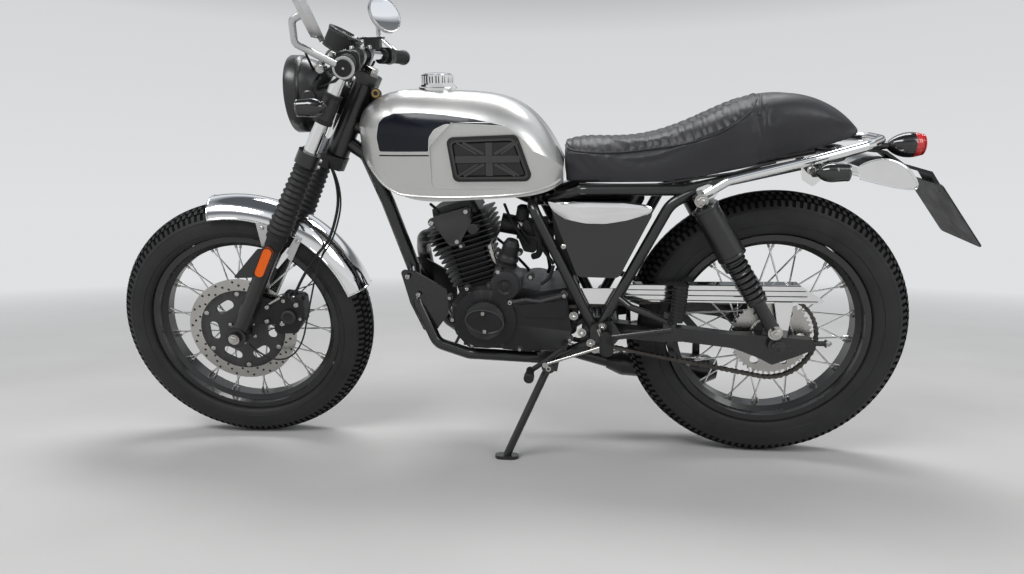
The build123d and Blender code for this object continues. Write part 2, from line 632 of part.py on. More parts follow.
barrel = Plane(origin=(crank_x, 0, crank_z),
               x_dir=(cos(radians(barrel_tilt)), 0, sin(radians(barrel_tilt))),
               z_dir=(-sin(radians(barrel_tilt)), 0, cos(radians(barrel_tilt))))
with BuildPart() as engine_case:
    side_plate([(-92, 330), (-98, 405), (-60, 448), (60, 452), (120, 440), (196, 452),
                (212, 400), (205, 330), (120, 292), (-60, 292)], 14, 84, -84)
    side_plate([(56, 420), (182, 444), (194, 350), (184, 308), (90, 296), (20, 302)], 10,
               -84, -112)
    side_plate([(56, 430), (182, 440), (200, 350), (184, 304), (90, 292), (-10, 300)], 12,
               112, 84)
    cross_rod(crank_x, crank_z, 74, -84, -118)
    cross_rod(crank_x, crank_z, 47, -118, -130)
    cross_rod(crank_x + 110, crank_z - 4, 68, 118, 84)
    cross_rod(crank_x, crank_z, 62, 112, 84)
    cross_rod(42, 463, 34, -40, -108)
    cross_rod(42, 463, 22, -108, -112)
    with BuildSketch(barrel.offset(40)) as neck:
        RectangleRounded(112, 122, 10)
    extrude(neck.sketch, amount=40)
    cross_rod(front_sprocket_x, front_sprocket_z, front_sprocket_radius + 18, chain_y + 12,
              chain_y - 12, mode=Mode.SUBTRACT)
    side_plate([(172, 416), (280, 440), (280, 270), (172, 308)], 0, chain_y + 12, chain_y - 12,
               mode=Mode.SUBTRACT)
    cross_rod(front_sprocket_x, front_sprocket_z, 14, chain_y + 13, chain_y - 13)
    cross_rod(front_sprocket_x, front_sprocket_z, front_sprocket_radius - 2, chain_y + 3,
              chain_y - 3)
    add(main_frame.part, mode=Mode.SUBTRACT)
    add(rear_frame.part, mode=Mode.SUBTRACT)

with BuildPart() as engine_cylinder:
    with BuildSketch(barrel.offset(80)) as core:
        RectangleRounded(86, 96, 12)
    extrude(core.sketch, amount=175)
    for index in range(13):
        level = 84 + index * fin_pitch
        low = index < 7
        length = 116 + 3 * index if low else 160
        width = 128 if low else 150
        with BuildSketch(barrel.offset(level)) as fin:
            with Locations((-8 if low else 0, 0)):
                RectangleRounded(length, width, 12)
        extrude(fin.sketch, amount=fin_thick)
    with BuildSketch(barrel.offset(246)) as cover:
        RectangleRounded(118, 120, 16)
    extrude(cover.sketch, amount=33, taper=12)
    with BuildSketch(Plane.XZ.offset(60)) as cam_cover:
        Polygon((-142, 618), (-50, 644), (-40, 610), (-74, 552), (-96, 552), align=None)
        fillet(cam_cover.vertices(), 12)
    extrude(cam_cover.sketch, amount=27)
    add(engine_case.part, mode=Mode.SUBTRACT)

with BuildPart() as air_intake:
    side_plate([(62, 560), (74, 600), (118, 590), (118, 540), (100, 520), (76, 524)], 8, 28, -28)
    tube([(20, 0, 590), (150, 0, 566)], 24)
    side_plate([(148, 628), (340, 628), (300, 500), (200, 480), (160, 520)], 10, 84, -84)
    add(engine_cylinder.part, mode=Mode.SUBTRACT)

muffler_start = Vector(286, 126, 178)
muffler_dir = Vector(0.997, 0, -0.07).normalized()
muffler_radius = 38.0
muffler_length = 230.0          # the straight can between its two cones
outlet_radius = 14.0
outlet_depth = 50.0


def muffler_plane(distance):
    return Plane(origin=muffler_start + muffler_dir * distance, z_dir=muffler_dir)


with BuildPart() as exhaust:
    tube([(-134, 8, 556), (-186, 40, 545), (-204, 98, 500), (-196, 120, 400), (-150, 124, 292),
          (-76, 126, 238), (150, 126, 216), tuple(muffler_start)], 19, 40)
    tail = 40 + muffler_length
    for distance, low, high, length in ((-2, 22, muffler_radius, 42),
                                        (tail, muffler_radius, 26, 24)):
        with BuildSketch(muffler_plane(distance)):
            Circle(low)
        with BuildSketch(muffler_plane(distance + length)):
            Circle(high)
        loft()
    with BuildSketch(muffler_plane(40)) as can:
        Circle(muffler_radius)
    extrude(can.sketch, amount=muffler_length)
    with BuildSketch(muffler_plane(tail + 24 - outlet_depth)) as outlet:
        Circle(outlet_radius)
    extrude(outlet.sketch, amount=outlet_depth + 2, mode=Mode.SUBTRACT)
    side_plate([(424, 378), (438, 378), (534, 268), (538, 172), (518, 172), (516, 258),
                (424, 360)], 3, 147, 142)
    add(engine_cylinder.part, mode=Mode.SUBTRACT)
    add(main_frame.part, mode=Mode.SUBTRACT)
    add(rear_frame.part, mode=Mode.SUBTRACT)

# tank, seat and covers

filler_x = -122.0
filler_neck = 27.0
knee_floor = 117.0              # flat of the knee recess from the middle
knee_step = [(-122, 690), (-122, 786), (-70, 838), (60, 834), (124, 786), (164, 730),
             (164, 690)]
knee_pad = [(-84, 806), (74, 810), (110, 708), (-70, 708)]
tank_sections = (               # x, half width, bottom, height of the side, top
    (-302, 52, 792, 34, 846),
    (-276, 94, 738, 90, 880),
    (-170, 122, 668, 138, 908),
    (-40, 128, 666, 138, 900),
    (90, 121, 673, 108, 860),
    (150, 100, 686, 66, 790),
    (174, 82, 700, 34, 744))
tank_inside = (
    (-258, 84, 736, 64, 866),
    (-170, 104, 676, 124, 899),
    (-40, 110, 674, 124, 891),
    (90, 102, 682, 92, 850),
    (148, 80, 696, 48, 776))


def tank_body(sections):
    """The tank's shape, lofted through sections square to its length."""
    faces = []
    for x, half, bottom, side_height, top in sections:
        shoulder = bottom + side_height
        with BuildSketch(Plane(origin=(x, 0, 0), x_dir=(0, 1, 0), z_dir=(1, 0, 0))) as section:
            with BuildLine():
                Polyline((-half, shoulder), (-half + 8, bottom), (half - 8, bottom),
                         (half, shoulder))
                ThreePointArc((half, shoulder), (0.74 * half, shoulder + 0.72 * (top - shoulder)),
                              (0, top))
                ThreePointArc((0, top), (-0.74 * half, shoulder + 0.72 * (top - shoulder)),
                              (-half, shoulder))
            make_face()
        faces.append(section.sketch)
    loft(sections=faces)


with BuildPart() as tank_space:
    tank_body(tank_inside)
    side_plate([(-400, 600), (230, 600), (230, 698), (112, 708), (-138, 812), (-262, 858),
                (-400, 900)], 0, 36 + tank_wall, -36 - tank_wall, mode=Mode.SUBTRACT)

with BuildPart() as fuel_tank:
    tank_body(tank_sections)
    side_plate([(-400, 600), (220, 600), (220, 690), (110, 700), (-140, 804), (-262, 850),
                (-262, 960), (-400, 960)], 4, 36, -36, mode=Mode.SUBTRACT)
    for side in (-1, 1):
        side_plate(knee_step, 16, side * 200, side * knee_floor, mode=Mode.SUBTRACT)
        side_plate(knee_pad, 14, side * 200, side * (knee_floor - 4), mode=Mode.SUBTRACT)
    add(tank_space.part, mode=Mode.SUBTRACT)
    with BuildSketch(Plane(origin=(filler_x, 0, 860), z_dir=(0, 0, 1))) as neck:
        Circle(filler_neck)
    extrude(neck.sketch, amount=80, mode=Mode.SUBTRACT)

with BuildPart() as filler_cap:
    with BuildSketch(Plane(origin=(filler_x, 0, 896), x_dir=(1, 0, 0), z_dir=(0.02, 0, 1))) as base:
        Circle(42)
    extrude(base.sketch, amount=22)
    with BuildSketch(Plane(origin=(filler_x, 0, 918), x_dir=(1, 0, 0), z_dir=(0.02, 0, 1))) as top:
        RegularPolygon(38, 16)
    extrude(top.sketch, amount=22)
    add(fuel_tank.part, mode=Mode.SUBTRACT)
    with BuildSketch(Plane(origin=(filler_x, 0, 880), z_dir=(0, 0, 1))) as neck:
        Circle(filler_neck + 1)
    extrude(neck.sketch, amount=30, mode=Mode.SUBTRACT)

with BuildPart() as knee_pads:
    side_plate(knee_pad, 14, 4 - knee_floor, -8 - knee_floor)
    mirror(about=Plane.XZ)
    add(fuel_tank.part, mode=Mode.SUBTRACT)

seat_sections = (               # x, half width, bottom, height of the side, top
    (176, 66, 696, 62, 786),
    (260, 100, 698, 62, 784),
    (420, 116, 702, 76, 802),
    (540, 112, 722, 104, 852),
    (640, 100, 746, 96, 880),
    (750, 78, 772, 60, 857),
    (818, 42, 790, 12, 808))
with BuildPart() as seat:
    for x, half, bottom, side_height, top in seat_sections:
        shoulder = bottom + side_height
        with BuildSketch(Plane(origin=(x, 0, 0), x_dir=(0, 1, 0), z_dir=(1, 0, 0))):
            with BuildLine():
                Polyline((-half, shoulder), (-half + 6, bottom), (half - 6, bottom),
                         (half, shoulder))
                ThreePointArc((half, shoulder), (0.8 * half, shoulder + 0.7 * (top - shoulder)),
                              (0, top))
                ThreePointArc((0, top), (-0.8 * half, shoulder + 0.7 * (top - shoulder)),
                              (-half, shoulder))
            make_face()
    loft()

with BuildPart() as side_covers:
    side_plate([(142, 662), (380, 648), (302, 486), (208, 488)], 16, -98, -124)
    mirror(about=Plane.XZ)

# rear end

axle_x = rear_x
axle_z = rear_radius
with BuildPart() as swingarm:
    for side in (-1, 1):
        side_plate([(pivot_x - 20, pivot_z + 22), (pivot_x + 196, pivot_z + 22),
                    (axle_x - 92, axle_z + 20), (axle_x - 30, axle_z + 20),
                    (axle_x + 84, axle_z + 10), (axle_x + 84, axle_z - 14),
                    (axle_x + 40, axle_z - 34), (axle_x - 4, axle_z - 52),
                    (axle_x - 34, axle_z - 36), (axle_x - 92, axle_z + 20 - arm_height),
                    (pivot_x + 196, pivot_z + 22 - arm_height), (pivot_x - 20, pivot_z - 18)], 6,
                   side * (arm_half + arm_width / 2), side * 68)
    with BuildSketch(Plane.XY.offset(200)) as plan:
        for side in (-1, 1):
            Polygon((pivot_x - 30, side * 68), (pivot_x - 30, side * 94),
                    (pivot_x + 40, side * 94), (pivot_x + 150, side * (arm_half + 13)),
                    (axle_x + 90, side * (arm_half + 13)), (axle_x + 90, side * (arm_half - 13)),
                    (pivot_x + 160, side * (arm_half - 13)), (pivot_x + 50, side * 68),
                    align=None)
    extrude(plan.sketch, amount=300, mode=Mode.INTERSECT)
    for side in (-1, 1):
        cross_rod(axle_x, axle_z, 17, side * 125, side * 136)
        cross_rod(axle_x, axle_z, 15, side * 59, side * 100)
        tube([(axle_x + 80, side * arm_half, axle_z - 2),
              (axle_x + 112, side * arm_half, axle_z - 2)], 6)
        cross_rod(shock_low.X, shock_low.Z, 9, side * 150, side * 118)
        side_plate([(shock_low.X - 24, axle_z + 10), (shock_low.X - 13, shock_low.Z + 13),
                    (shock_low.X + 13, shock_low.Z + 13), (shock_low.X + 28, axle_z + 10)], 6,
                   side * 122, side * 112)
    cross_rod(axle_x, axle_z, 9, -140, 140)
    cross_rod(pivot_x + 38, pivot_z, 16, 84, -84)
    add(main_frame.part, mode=Mode.SUBTRACT)
    add(rear_frame.part, mode=Mode.SUBTRACT)

shock_dir = (shock_low - shock_top).normalized()
shock_length = (shock_low - shock_top).length
cover_length = 146.0
coil_count = 8
coil_pitch = 14.0
with BuildPart() as rear_shocks:
    shock_frame = Plane(origin=shock_top, x_dir=shock_dir, z_dir=(0, 1, 0))
    profile = [(-14, 0), (-14, 13), (12, 15), (20, 28), (cover_length - 8, 31),
               (cover_length, 24)]
    for coil in range(coil_count):
        at = cover_length + 4 + coil_pitch * coil
        profile += [(at, 16), (at + 3, 23), (at + 9, 23), (at + 12, 16)]
    seat_at = cover_length + 4 + coil_pitch * coil_count
    profile += [(seat_at, 22), (seat_at + 7, 22), (seat_at + 10, 15), (shock_length + 12, 15),
                (shock_length + 12, 0)]
    with BuildSketch(shock_frame) as section:
        Polygon(*profile, align=None)
    revolve(section.sketch, axis=Axis(shock_top, shock_dir))
    mirror(about=Plane.XZ)
    add(rear_frame.part, mode=Mode.SUBTRACT)
    add(swingarm.part, mode=Mode.SUBTRACT)

guard_top = axle_z + rear_sprocket_tip + chain_clearance + chain_height + 24
with BuildPart() as chain_guard:
    side_plate([(200, guard_top - 13), (296, guard_top - 12), (336, guard_top - 3),
                (axle_x + 50, guard_top), (axle_x + 106, guard_top - 37),
                (axle_x + 102, guard_top - 44), (300, guard_top - 43), (292, guard_top - 51),
                (200, guard_top - 50)], 2, -92, -95)
    side_plate([(336, guard_top - 3), (axle_x + 50, guard_top), (axle_x + 50, guard_top - 3),
                (336, guard_top - 6)], 0, -66, -93)
    for drop in (15, 29):
        side_plate([(320, guard_top - drop), (axle_x + 66, guard_top - drop),
                    (axle_x + 66, guard_top - drop - 4), (320, guard_top - drop - 4)], 0, -94, -97)
    side_plate([(axle_x - 4, guard_top - 40), (axle_x + 38, guard_top - 40),
                (axle_x + 30, axle_z - 6), (axle_x + 16, axle_z - 6)], 2, -95, -99)
    side_plate([(330, guard_top - 40), (352, guard_top - 40), (348, pivot_z + 20),
                (334, pivot_z + 20)], 2, -95, -99)
    add(swingarm.part, mode=Mode.SUBTRACT)

chain_inner_rear = rear_sprocket_tip + chain_clearance
with BuildPart() as drive_chain:
    with BuildSketch(Plane.XZ.offset(-chain_y - chain_width / 2)) as loop:
        with Locations((axle_x, axle_z)):
            Circle(chain_inner_rear + chain_height)
        with Locations((front_sprocket_x, front_sprocket_z)):
            Circle(front_sprocket_radius + chain_height)
        make_hull()
        offset(loop.sketch, amount=-chain_height, mode=Mode.SUBTRACT)
    extrude(loop.sketch, amount=chain_width)

with BuildPart() as foot_controls:
    for side in (-1, 1):
        tube([(274, side * 136, 350), (274, side * 150, 350)], 9)
        tube([(274, side * 148, 350), (276, side * 232, 352)], 14)
        tube([(420, side * 142, 388), (428, side * 158, 402)], 8)
        with BuildSketch(Plane(origin=(432, side * 160, 398), z_dir=(0.05, side * 0.06, 1))
                         ) as peg:
            RectangleRounded(30, 24, 8)
        extrude(peg.sketch, amount=88)
    tube([(178, -112, 322), (178, -150, 322)], 7)
    tube([(178, -144, 322), (140, -148, 292), (98, -150, 262)], 6, 30)
    tube([(98, -146, 262), (98, -196, 262)], 10)
    tube([(200, 112, 330), (200, 172, 330)], 9)
    tube([(200, 166, 330), (150, 172, 300), (84, 180, 282)], 7, 30)
    tube([(84, 172, 282), (76, 222, 282)], 10)
    add(engine_case.part, mode=Mode.SUBTRACT)
    add(main_frame.part, mode=Mode.SUBTRACT)
    add(rear_frame.part, mode=Mode.SUBTRACT)

with BuildPart() as grab_rail:
    tube([(478, -126, 674), (528, -126, 706), (700, -122, 748), (820, -96, 776),
          (866, -40, 782), (866, 40, 782), (820, 96, 776), (700, 122, 748), (528, 126, 706),
          (478, 126, 674)], 10, 38)
    for side in (-1, 1):
        side_plate([(462, 690), (486, 700), (516, 694), (500, 664), (470, 662)], 6,
                   side * 128, side * 117)
        side_plate([(676, 742), (736, 750), (730, 716), (706, 692), (684, 706)], 6,
                   side * 122, side * 112)
    add(rear_frame.part, mode=Mode.SUBTRACT)
    add(rear_shocks.part, mode=Mode.SUBTRACT)

with BuildPart() as rear_mudguard:
    with BuildSketch(Plane.XZ.offset(70)) as profile:
        with BuildLine():
            ThreePointArc((812, 728), (876, 743), (942, 688))
            Line((942, 688), (939, 686))
            ThreePointArc((939, 686), (875, 740), (812, 725))
            Line((812, 725), (812, 728))
        make_face()
    extrude(profile.sketch, amount=-140)
    for side in (-1, 1):
        side_plate([(812, 727), (845, 740), (876, 742), (912, 724), (941, 687), (931, 676),
                    (880, 684), (820, 700)], 3, side * 70, side * 67)

plate_hole = 3.2
plate_hole_pitch = 120.0
plate_hole_up = 64.0
with BuildPart() as plate_carrier:
    side_plate([(800, 742), (800, 747), (842, 760), (884, 756), (924, 728), (985, 710),
                (1066, 596), (1058, 590), (980, 704), (920, 722), (880, 751), (842, 755)], 0,
               30, -30)
    side_plate([(846, 757), (874, 753), (880, 770), (862, 774)], 3, 12, -12)
    add(rear_frame.part, mode=Mode.SUBTRACT)
    with BuildSketch(Plane(origin=(1030, 0, 620), x_dir=(0, 1, 0), z_dir=(0.8, 0, 0.6))) as plate:
        RectangleRounded(180, 170, 8)
        with Locations((-plate_hole_pitch / 2, plate_hole_up), (plate_hole_pitch / 2, plate_hole_up)):
            Circle(plate_hole, mode=Mode.SUBTRACT)
    extrude(plate.sketch, amount=3)
    add(rear_mudguard.part, mode=Mode.SUBTRACT)

with BuildPart() as tail_lamp:
    with BuildSketch(Plane(origin=(940, 0, 766), x_dir=(1, 0, 0), z_dir=(0, -1, 0))) as section:
        with BuildLine():
            ThreePointArc((-52, 0), (-26, 22), (6, 28))
            Polyline((6, 28), (6, 0), (-52, 0))
        make_face()
    revolve(section.sketch, axis=Axis((940, 0, 766), (1, 0, 0)))
    tube([(872, 0, 763), (900, 0, 766)], 8)
    add(plate_carrier.part, mode=Mode.SUBTRACT)

with BuildPart() as tail_lens:
    with BuildSketch(Plane(origin=(946, 0, 766), x_dir=(1, 0, 0), z_dir=(0, -1, 0))) as section:
        with BuildLine():
            Polyline((0, 0), (0, 27), (12, 26))
            ThreePointArc((12, 26), dome_middle((12, 26), 27), (27, 0))
            Line((27, 0), (0, 0))
        make_face()
    revolve(section.sketch, axis=Axis((946, 0, 766), (1, 0, 0)))

with BuildPart() as rear_indicators:
    for side in (-1, 1):
        spot = Vector(728, side * 164, 728)
        tube([(706, side * 122, 718), spot], 6)
        with BuildSketch(Plane(origin=spot, x_dir=(1, 0, 0), z_dir=(0, -1, 0))) as section:
            with BuildLine():
                ThreePointArc((-34, 0), (-22, 13), (8, 19.5))
                Polyline((8, 19.5), (32, 18), (32, 0), (-34, 0))
            make_face()
        revolve(section.sketch, axis=Axis(spot, (1, 0, 0)))
    add(grab_rail.part, mode=Mode.SUBTRACT)

# turn the bars, lean the machine and set both tyres on the floor

unit = Location(tuple(steer_point), tuple(steer_dir), steer) * Location(tuple(-steer_point))


def tyre_bottom(placement, x, radius):
    """Height of a tyre's lowest point once the machine is placed."""
    centre = (placement * Location((x, 0, radius))).position
    side = (placement * Location((x, 1, radius))).position - centre
    return centre.Z - (radius - crown) * sqrt(1 - side.Z ** 2) - crown


pitch = 0.0
for attempt in range(4):
    parked = Rot(0, pitch, 0) * Rot(lean, 0, 0)
    rear_low = tyre_bottom(parked, rear_x, rear_radius)
    front_low = tyre_bottom(parked * unit, front_x, front_radius)
    pitch += degrees(atan2(rear_low - front_low, wheelbase))
parked = Pos(0, 0, -tyre_bottom(parked, rear_x, rear_radius)) * parked

# the stand's pad lies flat on the floor
ankle_parked = (parked * Location(tuple(ankle))).position
pad_plane = Plane(parked.inverse() * Location((ankle_parked.X, ankle_parked.Y, 0)))
with BuildPart() as side_stand:
    tube([hip, ankle], stand_leg_radius)
    stand_disc(17, -stand_hub / 2, stand_hub / 2)
    stand_disc(stand_pin + 0.4, -20, 20, mode=Mode.SUBTRACT)
    with BuildSketch(pad_plane) as pad:
        SlotOverall(58, 34)
    extrude(pad.sketch, amount=8)

fixed = parked
steered = parked * unit
pieces = [
    ("main_frame", main_frame, fixed), ("rear_frame", rear_frame, fixed),
    ("engine_case", engine_case, fixed),
    ("engine_cylinder", engine_cylinder, fixed), ("air_intake", air_intake, fixed),
    ("exhaust", exhaust, fixed), ("fuel_tank", fuel_tank, fixed),
    ("filler_cap", filler_cap, fixed), ("knee_pads", knee_pads, fixed), ("seat", seat, fixed),
    ("side_covers", side_covers, fixed), ("swingarm", swingarm, fixed),
    ("rear_shocks", rear_shocks, fixed), ("chain_guard", chain_guard, fixed),
    ("drive_chain", drive_chain, fixed),
    ("foot_controls", foot_controls, fixed),
    ("grab_rail", grab_rail, fixed), ("rear_mudguard", rear_mudguard, fixed),
    ("tail_lamp", tail_lamp, fixed), ("tail_lens", tail_lens, fixed),
    ("rear_indicators", rear_indicators, fixed), ("plate_carrier", plate_carrier, fixed),
    ("side_stand", side_stand, fixed), ("rear_tyre", rear_tyre, fixed),
    ("rear_wheel", rear_wheel, fixed), ("rear_sprocket", rear_sprocket, fixed),
    ("fork_yokes", fork_yokes, steered), ("fork_tubes", fork_tubes, steered),
    ("fork_gaiters", fork_gaiters, steered), ("fork_sliders", fork_sliders, steered),
    ("brake_caliper", brake_caliper, steered), ("brake_hose", brake_hose, steered),
    ("front_mudguard", front_mudguard, steered), ("fork_reflectors", fork_reflectors, steered),
    ("handlebar", handlebar, steered), ("hand_grips", hand_grips, steered),
    ("bar_controls", bar_controls, steered), ("bar_mirrors", bar_mirrors, steered),
    ("headlamp", headlamp, steered), ("headlamp_lens", headlamp_lens, steered),
    ("instrument", instrument, steered), ("front_indicators", front_indicators, steered),
    ("front_tyre", front_tyre, steered), ("front_wheel", front_wheel, steered),
    ("front_disc", front_disc, steered)]
for name, piece, place in pieces:
    piece.part.move(place)

boxes = [piece.part.bounding_box() for name, piece, place in pieces]
low_x, high_x = min(box.min.X for box in boxes), max(box.max.X for box in boxes)
low_y, high_y = min(box.min.Y for box in boxes), max(box.max.Y for box in boxes)
middle = Pos(-(low_x + high_x) / 2, -(low_y + high_y) / 2, 0)
os.makedirs("parts", exist_ok=True)
for name, piece, place in pieces:
    piece.part.move(middle)
    piece.part.label = name
    export_step(piece.part, f"parts/{name}.step")

print("length", high_x - low_x, "width", high_y - low_y,
      "height", max(box.max.Z for box in boxes), "floor", min(box.min.Z for box in boxes))
print("parked", middle * parked)
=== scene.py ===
"""Studio scene of a cafe racer motorcycle leaning on its side stand, dressed over its CAD frame."""
import json
from math import acos, atan2, cos, hypot, pi, radians, sin, sqrt
import bmesh
import bpy
from mathutils import Matrix, Vector
from mathutils.bvhtree import BVHTree


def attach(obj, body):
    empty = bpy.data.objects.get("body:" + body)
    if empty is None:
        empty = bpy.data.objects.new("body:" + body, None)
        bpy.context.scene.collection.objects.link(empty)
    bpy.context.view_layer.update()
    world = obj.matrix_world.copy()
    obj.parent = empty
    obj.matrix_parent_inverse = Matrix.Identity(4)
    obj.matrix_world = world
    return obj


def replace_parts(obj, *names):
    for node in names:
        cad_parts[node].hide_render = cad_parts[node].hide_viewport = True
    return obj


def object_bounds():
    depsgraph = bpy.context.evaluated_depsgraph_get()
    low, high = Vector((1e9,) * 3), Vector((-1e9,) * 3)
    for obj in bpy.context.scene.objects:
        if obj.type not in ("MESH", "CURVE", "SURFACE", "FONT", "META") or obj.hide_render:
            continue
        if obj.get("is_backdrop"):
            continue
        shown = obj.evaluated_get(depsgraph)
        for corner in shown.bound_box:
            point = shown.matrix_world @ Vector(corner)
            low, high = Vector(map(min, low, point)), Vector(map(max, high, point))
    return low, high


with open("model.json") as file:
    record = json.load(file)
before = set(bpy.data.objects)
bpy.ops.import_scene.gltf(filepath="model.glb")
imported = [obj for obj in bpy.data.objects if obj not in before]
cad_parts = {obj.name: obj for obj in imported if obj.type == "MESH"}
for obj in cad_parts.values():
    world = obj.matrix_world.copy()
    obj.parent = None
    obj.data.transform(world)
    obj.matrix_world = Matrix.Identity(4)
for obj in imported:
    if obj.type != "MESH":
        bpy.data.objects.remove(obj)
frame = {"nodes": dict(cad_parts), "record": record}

cad_low, cad_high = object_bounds()
scene = bpy.context.scene
nodes = frame["nodes"]

# Pieces are drawn as part.py draws them: upright, bars straight, X rearward, Y to the right, mm.
LEAN, PITCH, STEER, RAKE = 12.0, -0.091078, 6.5, 28.0
ORIGIN = Vector((-0.0493144, 0.236669, 0.000151601))
WHEELBASE, FRONT_R, REAR_R, YOKE_OFFSET = 1320.0, 325.0, 333.0, 42.0
FRONT_X, REAR_X = -WHEELBASE / 2, WHEELBASE / 2
MM = Matrix.Scale(0.001, 4)
PARKED = (Matrix.Translation(ORIGIN) @ Matrix.Rotation(radians(PITCH), 4, "Y") @
    Matrix.Rotation(radians(LEAN), 4, "X"))
FIXED = PARKED @ MM
rake = radians(RAKE)
STEER_DIR = Vector((sin(rake), 0, cos(rake)))
STEER_BACK = Vector((cos(rake), 0, -sin(rake)))
STEER_POINT = Vector((FRONT_X, 0, FRONT_R)) + STEER_BACK * YOKE_OFFSET
STEERED = (FIXED @ Matrix.Translation(STEER_POINT) @ Matrix.Rotation(radians(STEER), 4, STEER_DIR) @
    Matrix.Translation(-STEER_POINT))
PLACES = {"frame": FIXED, "rear_wheel": FIXED, "steering": STEERED, "front_wheel": STEERED}
LEFT, RIGHT = SIDES = (-1, 1)


def along_leg(distance, side=0.0, ahead=0.0, half=95.0):
    """A point beside the fork leg's line, measured up from the front axle."""
    return (Vector((FRONT_X, side * half, FRONT_R)) + STEER_DIR * distance - STEER_BACK * ahead)


# materials

def set_inputs(tree, node, inputs):
    """Each input takes a plain value or another node's output."""
    for name, value in inputs.items():
        if isinstance(value, bpy.types.NodeSocket):
            tree.links.new(value, node.inputs[name])
        else:
            node.inputs[name].default_value = value


def add_node(tree, kind, inputs, **settings):
    node = tree.nodes.new("ShaderNode" + kind)
    for name, value in settings.items():
        setattr(node, name, value)
    set_inputs(tree, node, inputs)
    return node


def new_material(name):
    """A node material and its principled shader."""
    material = bpy.data.materials.new(name)
    material.use_nodes = True
    return material, material.node_tree, material.node_tree.nodes["Principled BSDF"]


def coords(tree, scale=1.0):
    """Object coordinates in metres, scaled."""
    source = add_node(tree, "TexCoord", {}).outputs["Object"]
    return add_node(tree, "Mapping", {"Scale": (scale,) * 3, "Vector": source}).outputs["Vector"]


def noise_node(tree, scale, detail=3.0, roughness=0.5):
    return add_node(tree, "TexNoise", {"Scale": scale, "Detail": detail, "Roughness": roughness,
        "Vector": coords(tree)}).outputs["Fac"]


def ramp(tree, value, low, high, low_at=0.3, high_at=0.7):
    """A grey or colour from low to high as the input goes from low_at to high_at."""
    node = add_node(tree, "ValToRGB", {"Fac": value})
    for element, at, colour in zip(node.color_ramp.elements, (low_at, high_at), (low, high)):
        element.position = at
        element.color = (colour,) * 3 + (1,) if isinstance(colour, float) else (*colour, 1)
    return node.outputs["Color"]


def bump(tree, height, strength, distance):
    return add_node(tree, "Bump", {"Strength": strength, "Distance": distance, "Height":
        height}).outputs["Normal"]


def surface(name, colour, tint, roughness, grain, metallic=0.0, coat=0.0, coat_rough=0.05, specular=0.5,
        edge=None):
    """Broad colour and gloss variation under a fine grain (scale, depth, strength)."""
    material, tree, shader = new_material(name)
    base = ramp(tree, noise_node(tree, 8.0, 4.0, 0.55), colour, tint)
    # edge: sharp edges, found by pointiness, get a lighter colour as a painted highlight
    if edge:
        highlight_pointiness = add_node(tree, "NewGeometry", {}).outputs["Pointiness"]
        highlight_mask = ramp(tree, highlight_pointiness, 0.0, 1.0, 0.52, 0.60)
        base = add_node(tree, "Mix", {"Factor": highlight_mask, "A": base, "B": (*edge, 1)},
            data_type="RGBA").outputs["Result"]
    rough = ramp(tree, noise_node(tree, 18.4, 5.0, 0.6), max(0.02, roughness * 0.82),
        min(1.0, roughness * 1.2))
    scale, depth, strength = grain
    set_inputs(tree, shader, {"Base Color": base, "Roughness": rough, "Metallic": metallic,
        "Coat Weight": coat, "Coat Roughness": coat_rough, "Specular IOR Level": specular, "Normal":
        bump(tree, noise_node(tree, scale, 2.0, 0.6), strength, depth)})
    return material


def silver_paint():
    """Metallic silver with fine flakes under a clear coat."""
    material, tree, shader = new_material("silver_metal_paint")
    flakes = add_node(tree, "TexVoronoi", {"Scale": 2600, "Vector": coords(tree)}).outputs
    base = ramp(tree, flakes["Color"], (0.47, 0.47, 0.457), (0.63, 0.625, 0.61), 0.1, 0.9)
    set_inputs(tree, shader, {"Base Color": base, "Roughness": ramp(tree, noise_node(tree, 9.0, 4.0),
        0.30, 0.38), "Metallic": 0.72, "Coat Weight": 1.0, "Coat Roughness": 0.04, "Normal": bump(tree,
        flakes["Distance"], 0.05, 0.0002)})
    return material


def clear_glass():
    material, tree, shader = new_material("lamp_glass")
    set_inputs(tree, shader, {"Transmission Weight": 0.9, "IOR": 1.45, "Base Color":
        (0.92, 0.94, 0.95, 1), "Roughness": ramp(tree, noise_node(tree, 30.0), 0.02, 0.06)})
    return material


frame_black = surface("frame_black_paint", 0.008, 0.012, 0.30, (220, 0.0003, 0.12), coat=0.35)
# engine black gets a lighter grey on its sharp edges: a painted highlight
engine_black = surface("engine_black_paint", (0.014, 0.014, 0.015), (0.023, 0.023, 0.025), 0.42,
    (900, 0.0004, 0.35), metallic=0.25, edge=(0.06, 0.06, 0.062), specular=0.32)
satin_black = surface("satin_black_plastic", 0.012, 0.018, 0.46, (1400, 0.0003, 0.3), specular=0.36)
gloss_black = surface("gloss_black_paint", 0.006, 0.009, 0.12, (60, 0.0002, 0.04), coat=0.6,
    coat_rough=0.03)
shell_black = surface("lamp_shell_black", 0.012, 0.018, 0.34, (500, 0.0002, 0.15), coat=0.2,
    coat_rough=0.2)
lamp_black = surface("lamp_black_plastic", 0.009, 0.013, 0.16, (90, 0.0002, 0.05), coat=0.6)
chrome = surface("chrome_plate", 0.78, 0.86, 0.07, (50, 0.0002, 0.03), metallic=1.0)
alloy = surface("brushed_alloy", 0.50, 0.60, 0.30, (500, 0.0002, 0.12), metallic=1.0)
steel = surface("plated_steel", (0.42, 0.41, 0.39), (0.55, 0.54, 0.52), 0.26, (300, 0.0002, 0.1),
    metallic=1.0)
rubber = surface("moulded_rubber", 0.012, 0.020, 0.60, (1100, 0.0003, 0.35), specular=0.35)
tyre_rubber = surface("tyre_rubber", (0.014, 0.014, 0.015), (0.024, 0.024, 0.025), 0.62,
    (700, 0.0003, 0.4), specular=0.35)
leather = surface("seat_leather", (0.015, 0.015, 0.018), (0.025, 0.025, 0.029), 0.42,
    (650, 0.0005, 0.5), specular=0.42)
